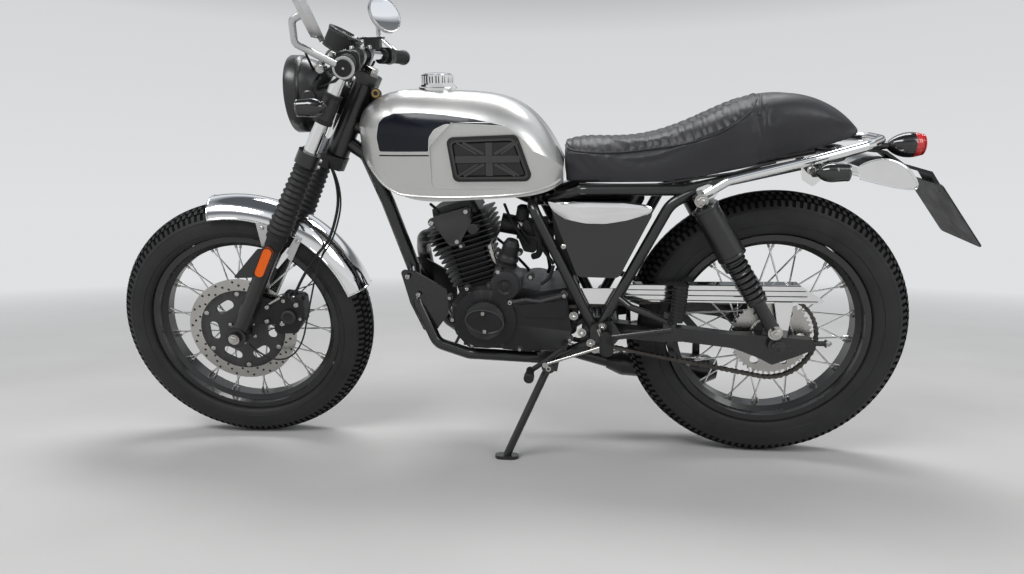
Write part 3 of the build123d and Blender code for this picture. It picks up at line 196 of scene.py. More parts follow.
orange = surface("orange_lens", (0.80, 0.115, 0.004), (0.88, 0.145, 0.006), 0.3, (90, 0.0003, 0.1),
    coat=0.15, specular=0.25)
red = surface("red_lens", (0.42, 0.008, 0.012), (0.60, 0.02, 0.02), 0.12, (90, 0.0003, 0.1), coat=0.7)
# tyre grooves: a darker rubber on the groove faces, painted shade
painted_groove_shade = surface("tyre_groove_painted_shade", 0.006, 0.010, 0.9, (700, 0.0002, 0.2), specular=0.1)
spoke_steel = surface("spoke_steel", 0.70, 0.82, 0.22, (200, 0.0002, 0.05), metallic=1.0)
dark_chain = surface("oiled_steel", (0.06, 0.055, 0.05), (0.13, 0.12, 0.11), 0.38, (260, 0.0003, 0.2),
    metallic=0.9)
panel_dark = surface("panel_dark_paint", (0.006, 0.008, 0.013), (0.009, 0.011, 0.018), 0.20,
    (70, 0.0002, 0.03), coat=0.12, coat_rough=0.04, specular=0.2)
pale_line = surface("pale_pin_line", 0.62, 0.70, 0.3, (90, 0.0001, 0.05), coat=0.6)
# a darker line in the knee pad's groove: painted shade
pad_groove_painted_shade = surface("pad_groove_shade", 0.004, 0.006, 0.8, (1200, 0.0002, 0.2), specular=0.1)
pad_relief = surface("pad_relief_rubber", 0.034, 0.046, 0.50, (1200, 0.0002, 0.3), specular=0.4)
mirror_silver = surface("mirror_silver", 0.88, 0.90, 0.02, (30, 0.0001, 0.01), metallic=1.0)
reflector = surface("lamp_reflector_metal", 0.82, 0.90, 0.30, (120, 0.0002, 0.05), metallic=1.0)
brass = surface("brass_face", (0.40, 0.27, 0.10), (0.52, 0.36, 0.15), 0.35, (300, 0.0002, 0.1),
    metallic=1.0)
smoked = surface("smoked_lens", 0.05, 0.08, 0.1, (300, 0.0002, 0.05), coat=1.0)

by_slot = dict(frame_black=frame_black, engine_black=engine_black, satin_black=satin_black,
    gloss_black=gloss_black, tank_silver=silver_paint(), chrome=chrome, alloy=alloy, steel=steel,
    rubber=rubber, tyre=tyre_rubber, leather=leather, orange=orange, red=red, glass=clear_glass())
own_finish = dict(tail_lamp=lamp_black, rear_indicators=lamp_black, front_indicators=lamp_black,
    headlamp=shell_black)
for part in frame["record"]["subparts"]:
    mesh = nodes[part["node"]].data
    mesh.materials.clear()
    mesh.materials.append(own_finish.get(part["node"], by_slot[part["material_slot"]]))

# shapes

def add_piece(name, data, body=None):
    """An object in the scene, on its body."""
    piece = bpy.data.objects.new(name, data)
    scene.collection.objects.link(piece)
    if body:
        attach(piece, body)
    return piece


def turns(count):
    """Angles evenly round a circle."""
    return [2 * pi * k / count for k in range(count)]


def band(start, end, radius, height, edge=1):
    """A turned profile of one raised ring."""
    return [(start, radius), (start + edge, radius + height), (end - edge, radius + height),
        (end, radius)]


def outward(point):
    """The sideways direction away from the machine's middle plane."""
    return (0, -1 if point[1] < 0 else 1, 0)


class Batch:
    """Many small shapes, drawn in the upright machine's millimetres and joined in one mesh."""

    def __init__(self):
        self.points = []
        self.faces = []
        self.kinds = []

    def put(self, points, faces, kind=0):
        base = len(self.points)
        self.points += [Vector(point) for point in points]
        self.faces += [[base + index for index in face] for face in faces]
        self.kinds += [kind] * len(faces)

    def rings(self, loops, kind=0):
        """A skin through loops of equal length, closed at both ends."""
        n, last = len(loops[0]), (len(loops) - 1) * len(loops[0])
        faces = [(k + i, k + (i + 1) % n, k + n + (i + 1) % n, k + n + i) for k in range(0, last, n) for
            i in range(n)]
        faces += [tuple(reversed(range(n))), tuple(range(last, last + n))]
        self.put([point for loop in loops for point in loop], faces, kind)

    def turned(self, origin, axis, profile, sides=24, kind=0):
        """Profile points (distance along the axis, radius)."""
        origin, axis = Vector(origin), Vector(axis).normalized()
        x = axis.orthogonal().normalized()
        y = axis.cross(x)
        loops = [[origin + axis * reach + (x * cos(turn) + y * sin(turn)) * max(radius, 0.02) for turn
            in turns(sides)] for reach, radius in profile]
        self.rings(loops, kind)

    def rod(self, start, end, radius, sides=12, kind=0):
        start, end = Vector(start), Vector(end)
        self.turned(start, end - start, [(0, radius), ((end - start).length, radius)], sides, kind)

    def tube(self, path, radius, sides=10, kind=0, flat=1):
        """A round or flattened tube along points, its section carried without twist."""
        path = [Vector(point) for point in path]
        side = None
        loops = []
        for k, point in enumerate(path):
            ahead = (path[min(k + 1, len(path) - 1)] - path[max(k - 1, 0)]).normalized()
            side = (ahead.orthogonal() if side is None else side - ahead * side.dot(ahead))
            side.normalize()
            other = ahead.cross(side)
            loops.append([point + (side * cos(turn) + other * sin(turn) * flat) * radius for turn in
                turns(sides)])
        self.rings(loops, kind)

    def prism(self, outline, y_from, y_to):
        """A plate with its outline in side view, points (x, z)."""
        self.rings([[(x, y, z) for x, z in outline] for y in (y_from, y_to)])

    def block(self, centre, size, axes=None, kind=0):
        """A box; axes are its three directions."""
        centre = Vector(centre)
        a, b, c = axes or (Vector((1, 0, 0)), Vector((0, 1, 0)), Vector((0, 0, 1)))
        half = [Vector(axis).normalized() * extent / 2 for axis, extent in zip((a, b, c), size)]
        low = [centre + half[0] * i + half[1] * j - half[2] for i, j in ((-1, -1), (1, -1), (1, 1),
            (-1, 1))]
        self.rings([low, [point + half[2] * 2 for point in low]], kind)

    def bolt(self, centre, axis=None, radius=6, height=5, kind=0):
        """A domed socket screw, facing outward from the machine unless an axis is given."""
        axis = axis or outward(centre)
        self.turned(centre, axis, [(-2, radius), (height * 0.6, radius), (height, radius * 0.75),
            (height, radius * 0.42), (height - 2.5, radius * 0.40)], 14, kind)

    def nut(self, centre, axis=None, radius=11, height=9):
        """A hexagon nut on a washer with a bolt end in it."""
        axis = axis or outward(centre)
        self.turned(centre, axis, [(-1, radius * 1.35), (1.5, radius * 1.35)], 20)
        self.turned(centre, axis, [(1.5, radius), (height - 1, radius), (height, radius * 0.85)], 6)
        self.turned(centre, axis, [(height - 1, radius * 0.5), (height + 3, radius * 0.5),
            (height + 4, radius * 0.35)], 12)

    def build(self, name, slot=None, body="frame", finish=None, angle=32):
        """One mesh that rides a body; its finish is the slot's unless it has its own."""
        mesh = bpy.data.meshes.new(name)
        mesh.from_pydata([PLACES[body] @ point for point in self.points], [], self.faces)
        for material in finish or [by_slot[slot]]:
            mesh.materials.append(material)
        mesh.polygons.foreach_set("material_index", self.kinds)
        mesh.shade_smooth()
        mesh.set_sharp_from_angle(angle=radians(angle))
        mesh.validate()
        return add_piece(name, mesh, body)


def smooth_path(points, steps=6):
    """Points along a smooth curve through the given ones."""
    points = [Vector(point) for point in points]
    ends = [points[0] * 2 - points[1]] + points + [points[-1] * 2 - points[-2]]
    path = []
    for k in range(1, len(ends) - 2):
        a, b, c, d = ends[k - 1:k + 3]
        for i in range(steps):
            t = i / steps
            path.append(0.5 * ((2 * b) + (c - a) * t + (2 * a - 5 * b + 4 * c - d) * t * t +
                (3 * b - a - 3 * c + d) * t ** 3))
    path.append(points[-1])
    return path


def tree_of(mesh):
    """A mesh of the frame body in the upright machine's millimetres, for casting rays."""
    back = FIXED.inverted()
    return BVHTree.FromPolygons([back @ vertex.co for vertex in mesh.vertices], [tuple(polygon.vertices)
        for polygon in mesh.polygons])


OUTSIDE = 300


def side_hit(tree, x, z, side):
    """Where a ray from the side meets a surface, with the surface's normal there."""
    point, normal = tree.ray_cast(Vector((x, side * OUTSIDE, z)), Vector((0, -side, 0)), OUTSIDE)[:2]
    if point is None:
        return None, None
    if normal.y * side < 0:
        normal = -normal
    return point, normal


def stepped(line, step):
    """A side-view line with points about a step apart, its last one left out."""
    dense = []
    for (x1, z1), (x2, z2) in zip(line, line[1:]):
        count = max(1, int(hypot(x2 - x1, z2 - z1) / step))
        dense += [(x1 + (x2 - x1) * k / count, z1 + (z2 - z1) * k / count) for k in range(count)]
    return dense


def strip_on(batch, tree, line, width, side, lift, kind=0):
    """A thin flat band laid on a surface along a side-view line."""
    dense = stepped(line, 4) + [line[-1]]
    rows = []
    for k, (x, z) in enumerate(dense):
        x1, z1 = dense[max(k - 1, 0)]
        x2, z2 = dense[min(k + 1, len(dense) - 1)]
        length = hypot(x2 - x1, z2 - z1) or 1
        nx, nz = -(z2 - z1) / length * width / 2, (x2 - x1) / length * width / 2
        pair = []
        for sx, sz in ((x + nx, z + nz), (x - nx, z - nz)):
            point, normal = side_hit(tree, sx, sz, side)
            if point is not None:
                pair.append(point + normal * lift)
        if len(pair) == 2:
            rows.append((k, pair))
    points = [point for k, pair in rows for point in pair]
    faces = [(2 * i, 2 * i + 1, 2 * i + 3, 2 * i + 2) for i in range(len(rows) - 1) if rows[i + 1][0] ==
        rows[i][0] + 1]
    batch.put(points, faces, kind)


def patch_on(batch, tree, outline, side, lift, step):
    """A thin sheet laid on a surface inside a side-view outline, its edge drawn in."""
    shape = bmesh.new()
    edge = stepped(outline + outline[:1], step)
    ring = [shape.verts.new((x, 0, z)) for x, z in edge]
    shape.faces.new(ring)
    xs, zs = [x for x, z in edge], [z for x, z in edge]
    for low, high, normal in ((min(xs), max(xs), (1, 0, 0)), (min(zs), max(zs), (0, 0, 1))):
        at = low + step
        while at < high:
            plane = (at, 0, 0) if normal[0] else (0, 0, at)
            bmesh.ops.bisect_plane(shape, geom=shape.verts[:] + shape.edges[:] + shape.faces[:],
                plane_co=plane, plane_no=normal)
            at += step
    bmesh.ops.triangulate(shape, faces=shape.faces[:])
    shape.verts.index_update()
    shape.verts.ensure_lookup_table()
    hits = [side_hit(tree, vertex.co.x, vertex.co.z, side) for vertex in shape.verts]
    faces = [[vertex.index for vertex in face.verts] for face in shape.faces]
    faces = [face for face in faces if all(hits[index][0] is not None for index in face)]
    used = sorted({index for face in faces for index in face})
    place = {index: k for k, index in enumerate(used)}
    batch.put([hits[index][0] + hits[index][1] * lift for index in used], [[place[index] for index in
        face] for face in faces])
    shape.free()


def rounded(outline, radius, steps=5):
    """A side-view outline with its corners rounded."""
    result = []
    count = len(outline)
    for k in range(count):
        before, corner, after = (Vector(outline[(k + i) % count]) for i in (-1, 0, 1))
        a = corner + (before - corner).normalized() * min(radius, (before - corner).length * 0.45)
        b = corner + (after - corner).normalized() * min(radius, (after - corner).length * 0.45)
        for i in range(steps + 1):
            t = i / steps
            point = a * (1 - t) ** 2 + corner * 2 * t * (1 - t) + b * t * t
            result.append((point.x, point.y))
    return result


def scaled(outline, x, z, wide, high):
    """A side-view outline scaled about a point."""
    return [(x + (px - x) * wide, z + (pz - z) * high) for px, pz in outline]


# seat: a stuffed cushion in place of the CAD block, with a channelled panel inside a piped seam

SEAM = [(176, 780), (201, 768), (299, 765), (414, 779), (468, 792), (523, 813), (572, 848), (590, 873)]
SEAT_TOP = [(163, 784), (303, 780), (371, 788), (425, 801), (482, 818), (513, 829), (563, 860),
    (610, 876), (653, 878)]
CHANNEL_PITCH, CHANNEL_DEPTH, PIPING = 19, 2.6, 2.6
STUFFING_FRAMES, START_INSET, MOST_PUFF = 20, 0.0035, 0.008


def along_line(line, x):
    """Height and slope of a polyline at x."""
    for (x1, z1), (x2, z2) in zip(line, line[1:]):
        if x <= x2 or (x2, z2) == line[-1]:
            slope = (z2 - z1) / (x2 - x1)
            return z1 + (x - x1) * slope, slope
    return line[-1][1], 0


def apply_modifiers(piece):
    graph = bpy.context.evaluated_depsgraph_get()
    result = bpy.data.meshes.new_from_object(piece.evaluated_get(graph))
    piece.modifiers.clear()
    piece.data = result


def normals_of(mesh):
    """Each vertex with its normal as it is before any of them moves."""
    return list(zip(mesh.vertices, [vertex.normal.copy() for vertex in mesh.vertices]))


def seat_cushion():
    mesh = nodes["seat"].data.copy()
    piece = add_piece("seat_cushion", mesh)
    remesh = piece.modifiers.new("remesh", "REMESH")
    remesh.mode = "VOXEL"
    remesh.voxel_size = 0.005
    apply_modifiers(piece)
    mesh = piece.data
    back = FIXED.inverted()
    for vertex, normal in normals_of(mesh):
        vertex.co -= normal * START_INSET
    start = [vertex.co.copy() for vertex in mesh.vertices]
    held = piece.vertex_groups.new(name="base")
    for vertex in mesh.vertices:
        point = back @ vertex.co
        if point.z < 714 + max(0, point.x - 430) * 0.235:
            held.add([vertex.index], 1, "REPLACE")
    cloth = piece.modifiers.new("stuffing", "CLOTH")
    settings = cloth.settings
    settings.quality = 4
    settings.mass = 0.4
    settings.tension_stiffness = settings.compression_stiffness = 40
    settings.bending_stiffness = 4
    settings.use_pressure = True
    settings.uniform_pressure_force = 4
    settings.effector_weights.gravity = 0
    settings.vertex_group_mass = "base"
    cloth.point_cache.frame_end = STUFFING_FRAMES
    for number in range(1, STUFFING_FRAMES + 1):
        scene.frame_set(number)
    graph = bpy.context.evaluated_depsgraph_get()
    puffed = [vertex.co.copy() for vertex in piece.evaluated_get(graph).data.vertices]
    scene.frame_set(1)
    piece.modifiers.clear()
    piece.vertex_groups.clear()
    for vertex, first, last in zip(mesh.vertices, start, puffed):
        move = last - first
        if move.length > MOST_PUFF:
            move *= MOST_PUFF / move.length
        vertex.co = first + move
    smooth = piece.modifiers.new("smooth", "SUBSURF")
    smooth.levels = smooth.render_levels = 1
    apply_modifiers(piece)
    mesh = piece.data
    for vertex, normal in normals_of(mesh):
        point = back @ vertex.co
        if not 178 < point.x < 606:
            continue
        seam, slope = along_line(SEAM, min(point.x, 588))
        above = point.z - seam
        if point.x > 588:
            above = 604 - point.x
        top, slope = along_line(SEAT_TOP, point.x)
        foot = point.x - slope * max(0, top - point.z) / (1 + slope * slope)
        if above > 0:
            phase = abs(sin(pi * (foot * sqrt(1 + slope * slope)) / CHANNEL_PITCH))
            channel = CHANNEL_DEPTH * (phase ** 0.55 - 0.8) * min(1, above / 7)
            vertex.co += normal * channel * 0.001
        if abs(above) < 5:
            vertex.co -= normal * 0.0016 * (1 - abs(above) / 5)
    mesh.shade_smooth()
    mesh.materials.clear()
    mesh.materials.append(leather)
    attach(piece, "frame")
    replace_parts(piece, "seat")
    skin = tree_of(mesh)
    piping = Batch()

    def edge(line, side, rise=0):
        """Where a side-view line, looked for at a rise, lies on the cushion, and its normals."""
        for spot in smooth_path([(x, 0, z + rise) for x, z in line], 8):
            point, normal = side_hit(skin, spot.x, spot.z, side)
            if point is not None and abs(point.y) > 20:
                yield point, normal

    for side in SIDES:
        piping.tube([point + normal * 0.6 for point, normal in edge(SEAM, side)], PIPING, 8)
    across = []
    for k in range(31):
        y = -96 + 192 * k / 30
        x = 590 + 14 * (1 - (y / 96) ** 2)
        hit, normal = skin.ray_cast(Vector((x, y, 1000)), Vector((0, 0, -1)))[:2]
        if hit is not None:
            across.append(hit + normal * 0.6)
    piping.tube(across, PIPING, 8)
    base = [(178, 694), (430, 698), (500, 708), (580, 729), (690, 754), (790, 778)]
    for side in SIDES:
        piping.tube([point + Vector((0, side * 0.4, -7)) for point, normal in edge(base, side, 7)], 3,
            8, kind=1)
    piping.build("seat_piping", "leather", finish=[leather, satin_black])


seat_cushion()

# tyres with a block tread, grooves cut below the CAD crown

CROWN, REPEATS = 56, 118
PATTERN = [0, 0.03, 0.12, 0.25, 0.29, 0.5, 0.53, 0.75, 0.79]
EARLY, LATE = PATTERN[:4], PATTERN[5:8]
# bands across the tread: up to this angle, cut this deep, at these places in the pattern
BANDS = [(7, 0, ()), (9, 1.4, (0, 0.03, 0.5, 0.53)), (12.5, 4.5, PATTERN), (25, 4, EARLY),
    (28.5, 4.5, PATTERN), (41, 4, LATE), (44.5, 4, PATTERN), (61, 3.4, EARLY), (91, 0, ())]


def tread_depth(angle, turn):
    """Depth below the crown at an angle across and a place in the pattern."""
    depth, places = next(row[1:] for row in BANDS if abs(angle) < row[0])
    return depth if turn in places else 0


def tyre_piece(name, x, radius, rim_edge, rim_half, body):
    centre = radius - CROWN
    half_angles = [0, 6.9, 7.1, 8.9, 9.1, 12.3, 12.6, 18, 24.9, 25.2, 28.3, 28.6, 35, 40.9, 41.2, 44.3,
        44.6, 52, 60.8, 61.5, 66, 67, 69, 70, 76, 82, 90]
    angles = [-a for a in reversed(half_angles[1:])] + half_angles
    bead = rim_edge + 4
    low = Vector((rim_half - 2, bead + 12))
    middle = Vector((CROWN - 5, bead + 0.42 * (centre - bead)))
    sides = []
    high = Vector((CROWN, centre))
    control = middle * 2 - (high + low) / 2
    for t in (0.10, 0.17, 0.185, 0.20, 0.30, 0.42, 0.55, 0.66, 0.74, 0.755, 0.77, 0.84, 0.855, 0.87,
            0.93, 1):
        ridge = {0.185: 1.1, 0.755: 1.2, 0.855: 1.2}.get(t, 0)
        point = high * (1 - t) ** 2 + control * 2 * t * (1 - t) + low * t * t
        sides.append((point.x + ridge, point.y))
    rings, deep = [], []
    for repeat in range(REPEATS):
        for turn in PATTERN:
            around = 2 * pi * (repeat + turn) / REPEATS
            ring = [(-y, r) for y, r in reversed(sides)]
            for angle in angles:
                depth = tread_depth(angle, turn)
                deep.append(depth > 1)
                if 66.5 < abs(angle) < 69.5:
                    depth = -0.7
                t = radians(angle)
                reach = CROWN - depth
                ring.append((reach * sin(t), centre + reach * cos(t)))
            ring += sides
            rings.append([(x + r * sin(around), y, radius + r * cos(around)) for y, r in ring])
    width, total, across = len(rings[0]), len(rings), len(angles)
    vertices = [PLACES[body] @ Vector(point) for ring in rings for point in ring]
    faces = [(k * width + i, k * width + i + 1, (k + 1) % total * width + i + 1, (k + 1) % total * width
        + i) for k in range(total) for i in range(width - 1)]
    mesh = bpy.data.meshes.new(name)
    mesh.from_pydata(vertices, [], faces)
    mesh.materials.append(tyre_rubber)
    mesh.materials.append(painted_groove_shade)
    # faces in the cut grooves take the darker material: painted shade
    for polygon in mesh.polygons:
        k, i = divmod(polygon.index, width - 1)
        i -= len(sides)
        if 0 <= i < across - 1 and any(deep[row * across + corner] for corner in (i, i + 1) for row in
                (k, (k + 1) % total)):
            polygon.material_index = 1
    mesh.shade_smooth()
    mesh.set_sharp_from_angle(angle=radians(38))
    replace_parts(add_piece(name, mesh, body), body.replace("wheel", "tyre"))


tyre_piece("front_tread", FRONT_X, FRONT_R, 228, 38, "front_wheel")
tyre_piece("rear_tread", REAR_X, REAR_R, 223, 44, "rear_wheel")


def paint_faces(name, body, material, chosen):
    """A second material on the faces of a CAD node that chosen() picks by their middle."""
    mesh = nodes[name].data
    mesh.materials.append(material)
    index = len(mesh.materials) - 1
    back = PLACES[body].inverted()
    for polygon in mesh.polygons:
        if chosen(back @ polygon.center):
            polygon.material_index = index


def from_axle(x, radius):
    """Distance from an axle in side view, as a function of the point."""
    return lambda point: hypot(point.x - x, point.z - radius)


front_reach, rear_reach = from_axle(FRONT_X, FRONT_R), from_axle(REAR_X, REAR_R)
paint_faces("front_wheel", "front_wheel", spoke_steel, lambda p: 47 < front_reach(p) < 213)
paint_faces("rear_wheel", "rear_wheel", spoke_steel, lambda p: 64 < rear_reach(p) < 208)
paint_faces("front_disc", "front_wheel", engine_black, lambda p: front_reach(p) < 107)
paint_faces("rear_sprocket", "rear_wheel", engine_black, lambda p: rear_reach(p) < 50)

# spoke nipples at the rim and heads at the hub
for body, x, z, flange, flange_y, rim_edge, rim_y in (("front_wheel", FRONT_X, FRONT_R, 39, 27, 228, 8),
        ("rear_wheel", REAR_X, REAR_R, 56, 33, 223, 9)):
    batch = Batch()
    for side in SIDES:
        for turn, inset in ((1, 2.6), (-1, -2.6)):
            for index in range(9):
                hub = radians(index * 40 + 10 * side)
                out = hub + radians(turn * 62)
                start = Vector((x + flange * cos(hub), side * (flange_y + inset), z + flange *
                    sin(hub)))
                reach = rim_edge - 11
                end = Vector((x + reach * cos(out), side * rim_y, z + reach * sin(out)))
                batch.rod(end, end + (start - end).normalized() * 13, 3.4, 8)
                batch.turned(start, (0, side, 0), [(-3, 4.2), (3, 4.2)], 8)
    batch.build(body + "_nipples", "steel", body)

# drive chain: plates and rollers along the CAD loop

CHAIN_Y, CHAIN_PITCH = -78, 12.7


def chain_loop():
    """Points along the chain's line, one for each pin."""
    rear, front = Vector((REAR_X, REAR_R)), Vector((172, 362))
    big, small = 102.5, 39
    line = front - rear
    turn = atan2(line.y, line.x)
    spread = acos((big - small) / line.length)
    dense = []
    first, last = turn + spread, turn - spread
    for centre, radius, begin, end in ((rear, big, first, last + 2 * pi), (front, small, last, first)):
        for k in range(121):
            at = begin + (end - begin) * k / 120
            dense.append(centre + Vector((cos(at), sin(at))) * radius)
    dense.append(dense[0])
    lengths = [0]
    for a, b in zip(dense, dense[1:]):
        lengths.append(lengths[-1] + (b - a).length)
    count = 2 * round(lengths[-1] / CHAIN_PITCH / 2)
    pins = []
    k = 0
    for index in range(count):
        want = lengths[-1] * index / count
        while lengths[k + 1] < want:
            k += 1
        share = (want - lengths[k]) / max(1e-9, lengths[k + 1] - lengths[k])
        pins.append(dense[k].lerp(dense[k + 1], share))
    return pins


chain = Batch()
pins = chain_loop()
for index, pin in enumerate(pins):
    after = pins[(index + 1) % len(pins)]
    middle, along = (pin + after) / 2, (after - pin).normalized()
    across = Vector((-along.y, along.x))
    outline = []
    for centre, begin in ((after, -90), (pin, 90)):
        for k in range(6):
            turn = radians(begin + 180 * k / 5)
            outline.append(centre + (along * cos(turn) + across * sin(turn)) * 4.6)
        outline.append(middle + across * (3 if centre is after else -3))
    gap = 5.6 if index % 2 else 4
    for side in SIDES:
        y = CHAIN_Y + side * gap
        chain.prism(outline, y - 0.7, y + 0.7)
    for half, radius, corners in ((7.2, 1.9, 8), (3.2, 4, 10)):
        chain.rod((pin.x, CHAIN_Y - half, pin.y), (pin.x, CHAIN_Y + half, pin.y), radius, corners)
links = chain.build("chain_links", "steel", finish=[dark_chain])
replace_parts(links, "drive_chain")

# tank: a dark panel with a pin line, and a traditional crossed pattern on the knee pads

PANEL = [(-124, 775), (-242, 775), (-246, 806), (-239, 840), (-228, 850), (-204, 859), (-148, 860),
    (-93, 855), (-27, 846), (53, 828), (-34, 834), (-60, 837), (-87, 833), (-109, 823), (-121, 806)]
tank = tree_of(nodes["fuel_tank"].data)
panel, lines = Batch(), Batch()
for side in SIDES:
    edge = rounded(PANEL, 5, 3)
    patch_on(panel, tank, edge, side, 0.55, 3.5)
    strip_on(lines, tank, edge + edge[:1], 1.5, side, 0.75)
    strip_on(lines, tank, [(-124, 771), (-243, 771)], 1.5, side, 0.55)
    strip_on(panel, tank, [(-124, 767), (-243, 767)], 3, side, 0.4)
panel.build("tank_panel", finish=[panel_dark])
lines.build("tank_lines", finish=[pale_line])

PAD_RIM = [(-74, 797.5), (68, 801), (99, 716.5), (-63, 716.5)]
PAD_GROOVE = [(-69, 793), (65, 796.5), (92, 721), (-59, 721)]
pads = tree_of(nodes["knee_pads"].data)
relief = Batch()
for side in SIDES:
    rim, groove = rounded(PAD_RIM, 13), rounded(PAD_GROOVE, 9)
    strip_on(relief, pads, rim + rim[:1], 4.5, side, 1.7, kind=1)
    # the groove line is painted shade
    strip_on(relief, pads, groove + groove[:1], 3, side, 0.4, kind=2)
    x, z = 12, 758
    for line, lift in (([(x, 794), (x, 721)], 1.2), ([(-64, z), (80, z)], 1.6)):
        strip_on(relief, pads, line, 15, side, lift, kind=1)
    for dx, dz in ((-1, 1), (1, 1), (1, -1), (-1, -1)):
        for shift, width in ((0, 6), (15, 4)):
            start = (x + dx * (12 + shift), z + dz * 11)
            end = (x + dx * (58 + shift), z + dz * 37)
            end = (min(max(end[0], -60), 78), end[1])
            strip_on(relief, pads, [start, end], width, side, 1, kind=1)
relief.build("knee_pad_relief", "rubber", finish=[rubber, pad_relief, pad_groove_painted_shade])

tank_trim = Batch()
for side in SIDES:
    seam = []
    for x, z in ((-276, 752), (-262, 728), (-240, 702), (-212, 684), (-180, 676), (-80, 672), (40, 676),
            (100, 682), (148, 694), (168, 706)):
        point, normal = side_hit(tank, x, z, side)
        if point is not None:
            seam.append(point + Vector((0, side * 0.5, 0)))
    tank_trim.tube(smooth_path(seam, 5), 2.8, 8)
tank_trim.build("tank_seam", "tank_silver")

cap = Batch()
# a gloss black band behind the cap's chrome ribs: painted shade in the gaps between them
rib_gap_shade = Batch()
rib_gap_shade.turned((-122, 0, 921), (0, 0, 1), [(0, 36.9), (0.4, 37.6), (15.6, 37.6), (16, 36.9)], 48)
rib_gap_shade.build("filler_rib_gap_shade", finish=[gloss_black])
cap.turned((-122, 0, 908), (0.02, 0, 1), [(0, 46), (3, 46), (5, 43)], 48)
cap.turned((-122, 0, 938), (0.02, 0, 1), [(0, 35), (3, 34), (5, 29), (6.5, 16), (7, 0.5)], 48)
for turn in turns(32):
    foot = Vector((-122 + 37.2 * cos(turn), 37.2 * sin(turn), 921))
    cap.rod(foot, foot + Vector((0.3, 0, 17)), 1.9, 6)
cap.build("filler_detail", "chrome")

# engine: covers, screws, starter and wiring

screws, covers = Batch(), Batch()
for x, z, y, size in ((-52, 634, -89, 6.5), (-135, 607, -89, 6.5), (-35, 592, -76, 7.5),
        (-76, 562, -89, 6), (-69, 549, -76, 5), (18, 529, -62, 4.5), (68, 529, -62, 5),
        (22, 495, -110, 6), (-3, 452, -86, 5.5), (-57, 445, -86, 5.5), (-104, 418, -74, 5),
        (49, 421, -114, 6), (94, 469, -62, 6), (-97, 366, -86, 5.5), (-14, 399, -133, 5.5),
        (-11, 354, -133, 5.5), (177, 440, -114, 5.5), (190, 330, -114, 5), (70, 303, -114, 4.5),
        (-46, 310, -114, 4.5)):
    screws.bolt((x, y, z), radius=size)
    covers.turned((x, y + 14, z), (0, -1, 0), [(0, size + 3.5), (12, size + 3)], 16)
for x, z in ((62, 437), (182, 434), (188, 312), (96, 300), (20, 306), (126, 308), (150, 440)):
    screws.bolt((x, 113, z), radius=5, height=4)
for x, z, y in ((-206, 470, -72), (-182, 424, -72), (-160, 352, -72)):
    for side in SIDES:
        screws.bolt((x, -side * y, z), radius=6.5)
for x, z in ((200, 398), (219, 357), (240, 331), (266, 372), (250, 316)):
    for side in SIDES:
        screws.nut((x, side * 137, z), radius=7.5, height=7)

oval = [(-11 + 47 * cos(turn), 377 + 31 * sin(turn) - 4 * cos(turn)) for turn in turns(40)]
covers.rings([[(x, y, z) for x, z in scaled(oval, -11, 377, wide, high)] for y, wide, high in
    ((-129.5, 1, 1), (-132, 1, 1), (-133, 0.93, 0.91), (-131.2, 0.88, 0.85))])
covers.turned((38, -106, 461), (0, -1, 0), [(0, 35), (6, 35), (10, 32), (12, 26), (13.5, 18),
    (11.5, 15), (11.5, 9), (13.5, 7), (14, 0.5)], 40)
ridge = [(40, 418), (84, 428), (120, 424), (186, 443)]
for (x1, z1), (x2, z2) in zip(ridge, ridge[1:]):
    covers.rod((x1, -112, z1), (x2, -112, z2), 4.5, 8)
covers.prism(rounded([(66, 414), (150, 424), (182, 430), (182, 384), (80, 386)], 8), -111, -115)
covers.turned((28, -58, 470), (0.28, -0.1, 1), [(0, 26), (20, 26), (22, 23), (28, 23), (30, 26),
    (36, 26), (38, 23), (44, 23), (46, 26), (54, 25), (60, 21), (84, 20), (96, 14)], 28)
covers.turned((-38, -86, 592), (0, -1, 0), [(-2, 12), (2, 12), (3, 10)], 20)
for k in range(9):
    covers.rod((-96 + k * 24, -70, 296), (-96 + k * 24, 70, 296), 4, 8)
covers.turned((98, 118, 375), (0, 1, 0), [(0, 60), (4, 60), (7, 55), (8, 44), (6.5, 40)], 48)
covers.turned((-11, 112, 379), (0, 1, 0), [(0, 50), (5, 48), (7, 40)], 40)
covers.build("engine_covers", "engine_black", angle=24)
screws.build("engine_screws", "steel")

breather = Batch()
breather.tube(smooth_path([(-4, -52, 548), (0, -54, 530), (8, -54, 508), (18, -52, 494)]), 7, 14)
breather.turned((66, 0, 583), (1, 0, -0.16), [(-4, 31), (-4, 34), (6, 34), (6, 31)], 32)
breather.build("intake_band", "steel")
wiring = Batch()
for path, radius in (([(96, -30, 600), (108, -44, 580), (118, -46, 548), (112, -38, 520),
        (98, -30, 512)], 8), ([(60, -26, 600), (84, -40, 566), (110, -50, 560), (128, -52, 530),
        (150, -54, 500)], 4), ([(30, -20, 640), (50, -40, 600), (76, -42, 560), (90, -40, 540)], 3.4),
        ([(-150, -24, 640), (-128, -52, 630), (-110, -60, 600), (-112, -62, 588)], 3.6),
        ([(150, -60, 498), (140, -64, 470), (120, -66, 452)], 4), ([(60, 26, 604), (90, 40, 580),
        (120, 46, 530), (134, 50, 470), (130, 54, 448)], 5), ([(-60, 60, 590), (-40, 76, 560),
        (10, 80, 520), (60, 76, 470), (80, 70, 450)], 4)):
    wiring.tube(smooth_path(path), radius, 10)
wiring.turned((76, -34, 620), (0.2, -0.2, 1), [(-12, 16), (14, 16), (18, 12)], 20)
wiring.turned((-112, -60, 590), (0.1, -1, -0.35), [(-6, 9), (14, 9), (16, 7)], 16)
wiring.block((120, -46, 600), (34, 20, 26))
wiring.build("engine_wiring", "rubber")

# side covers: a bright curved lip over gloss black, no badge

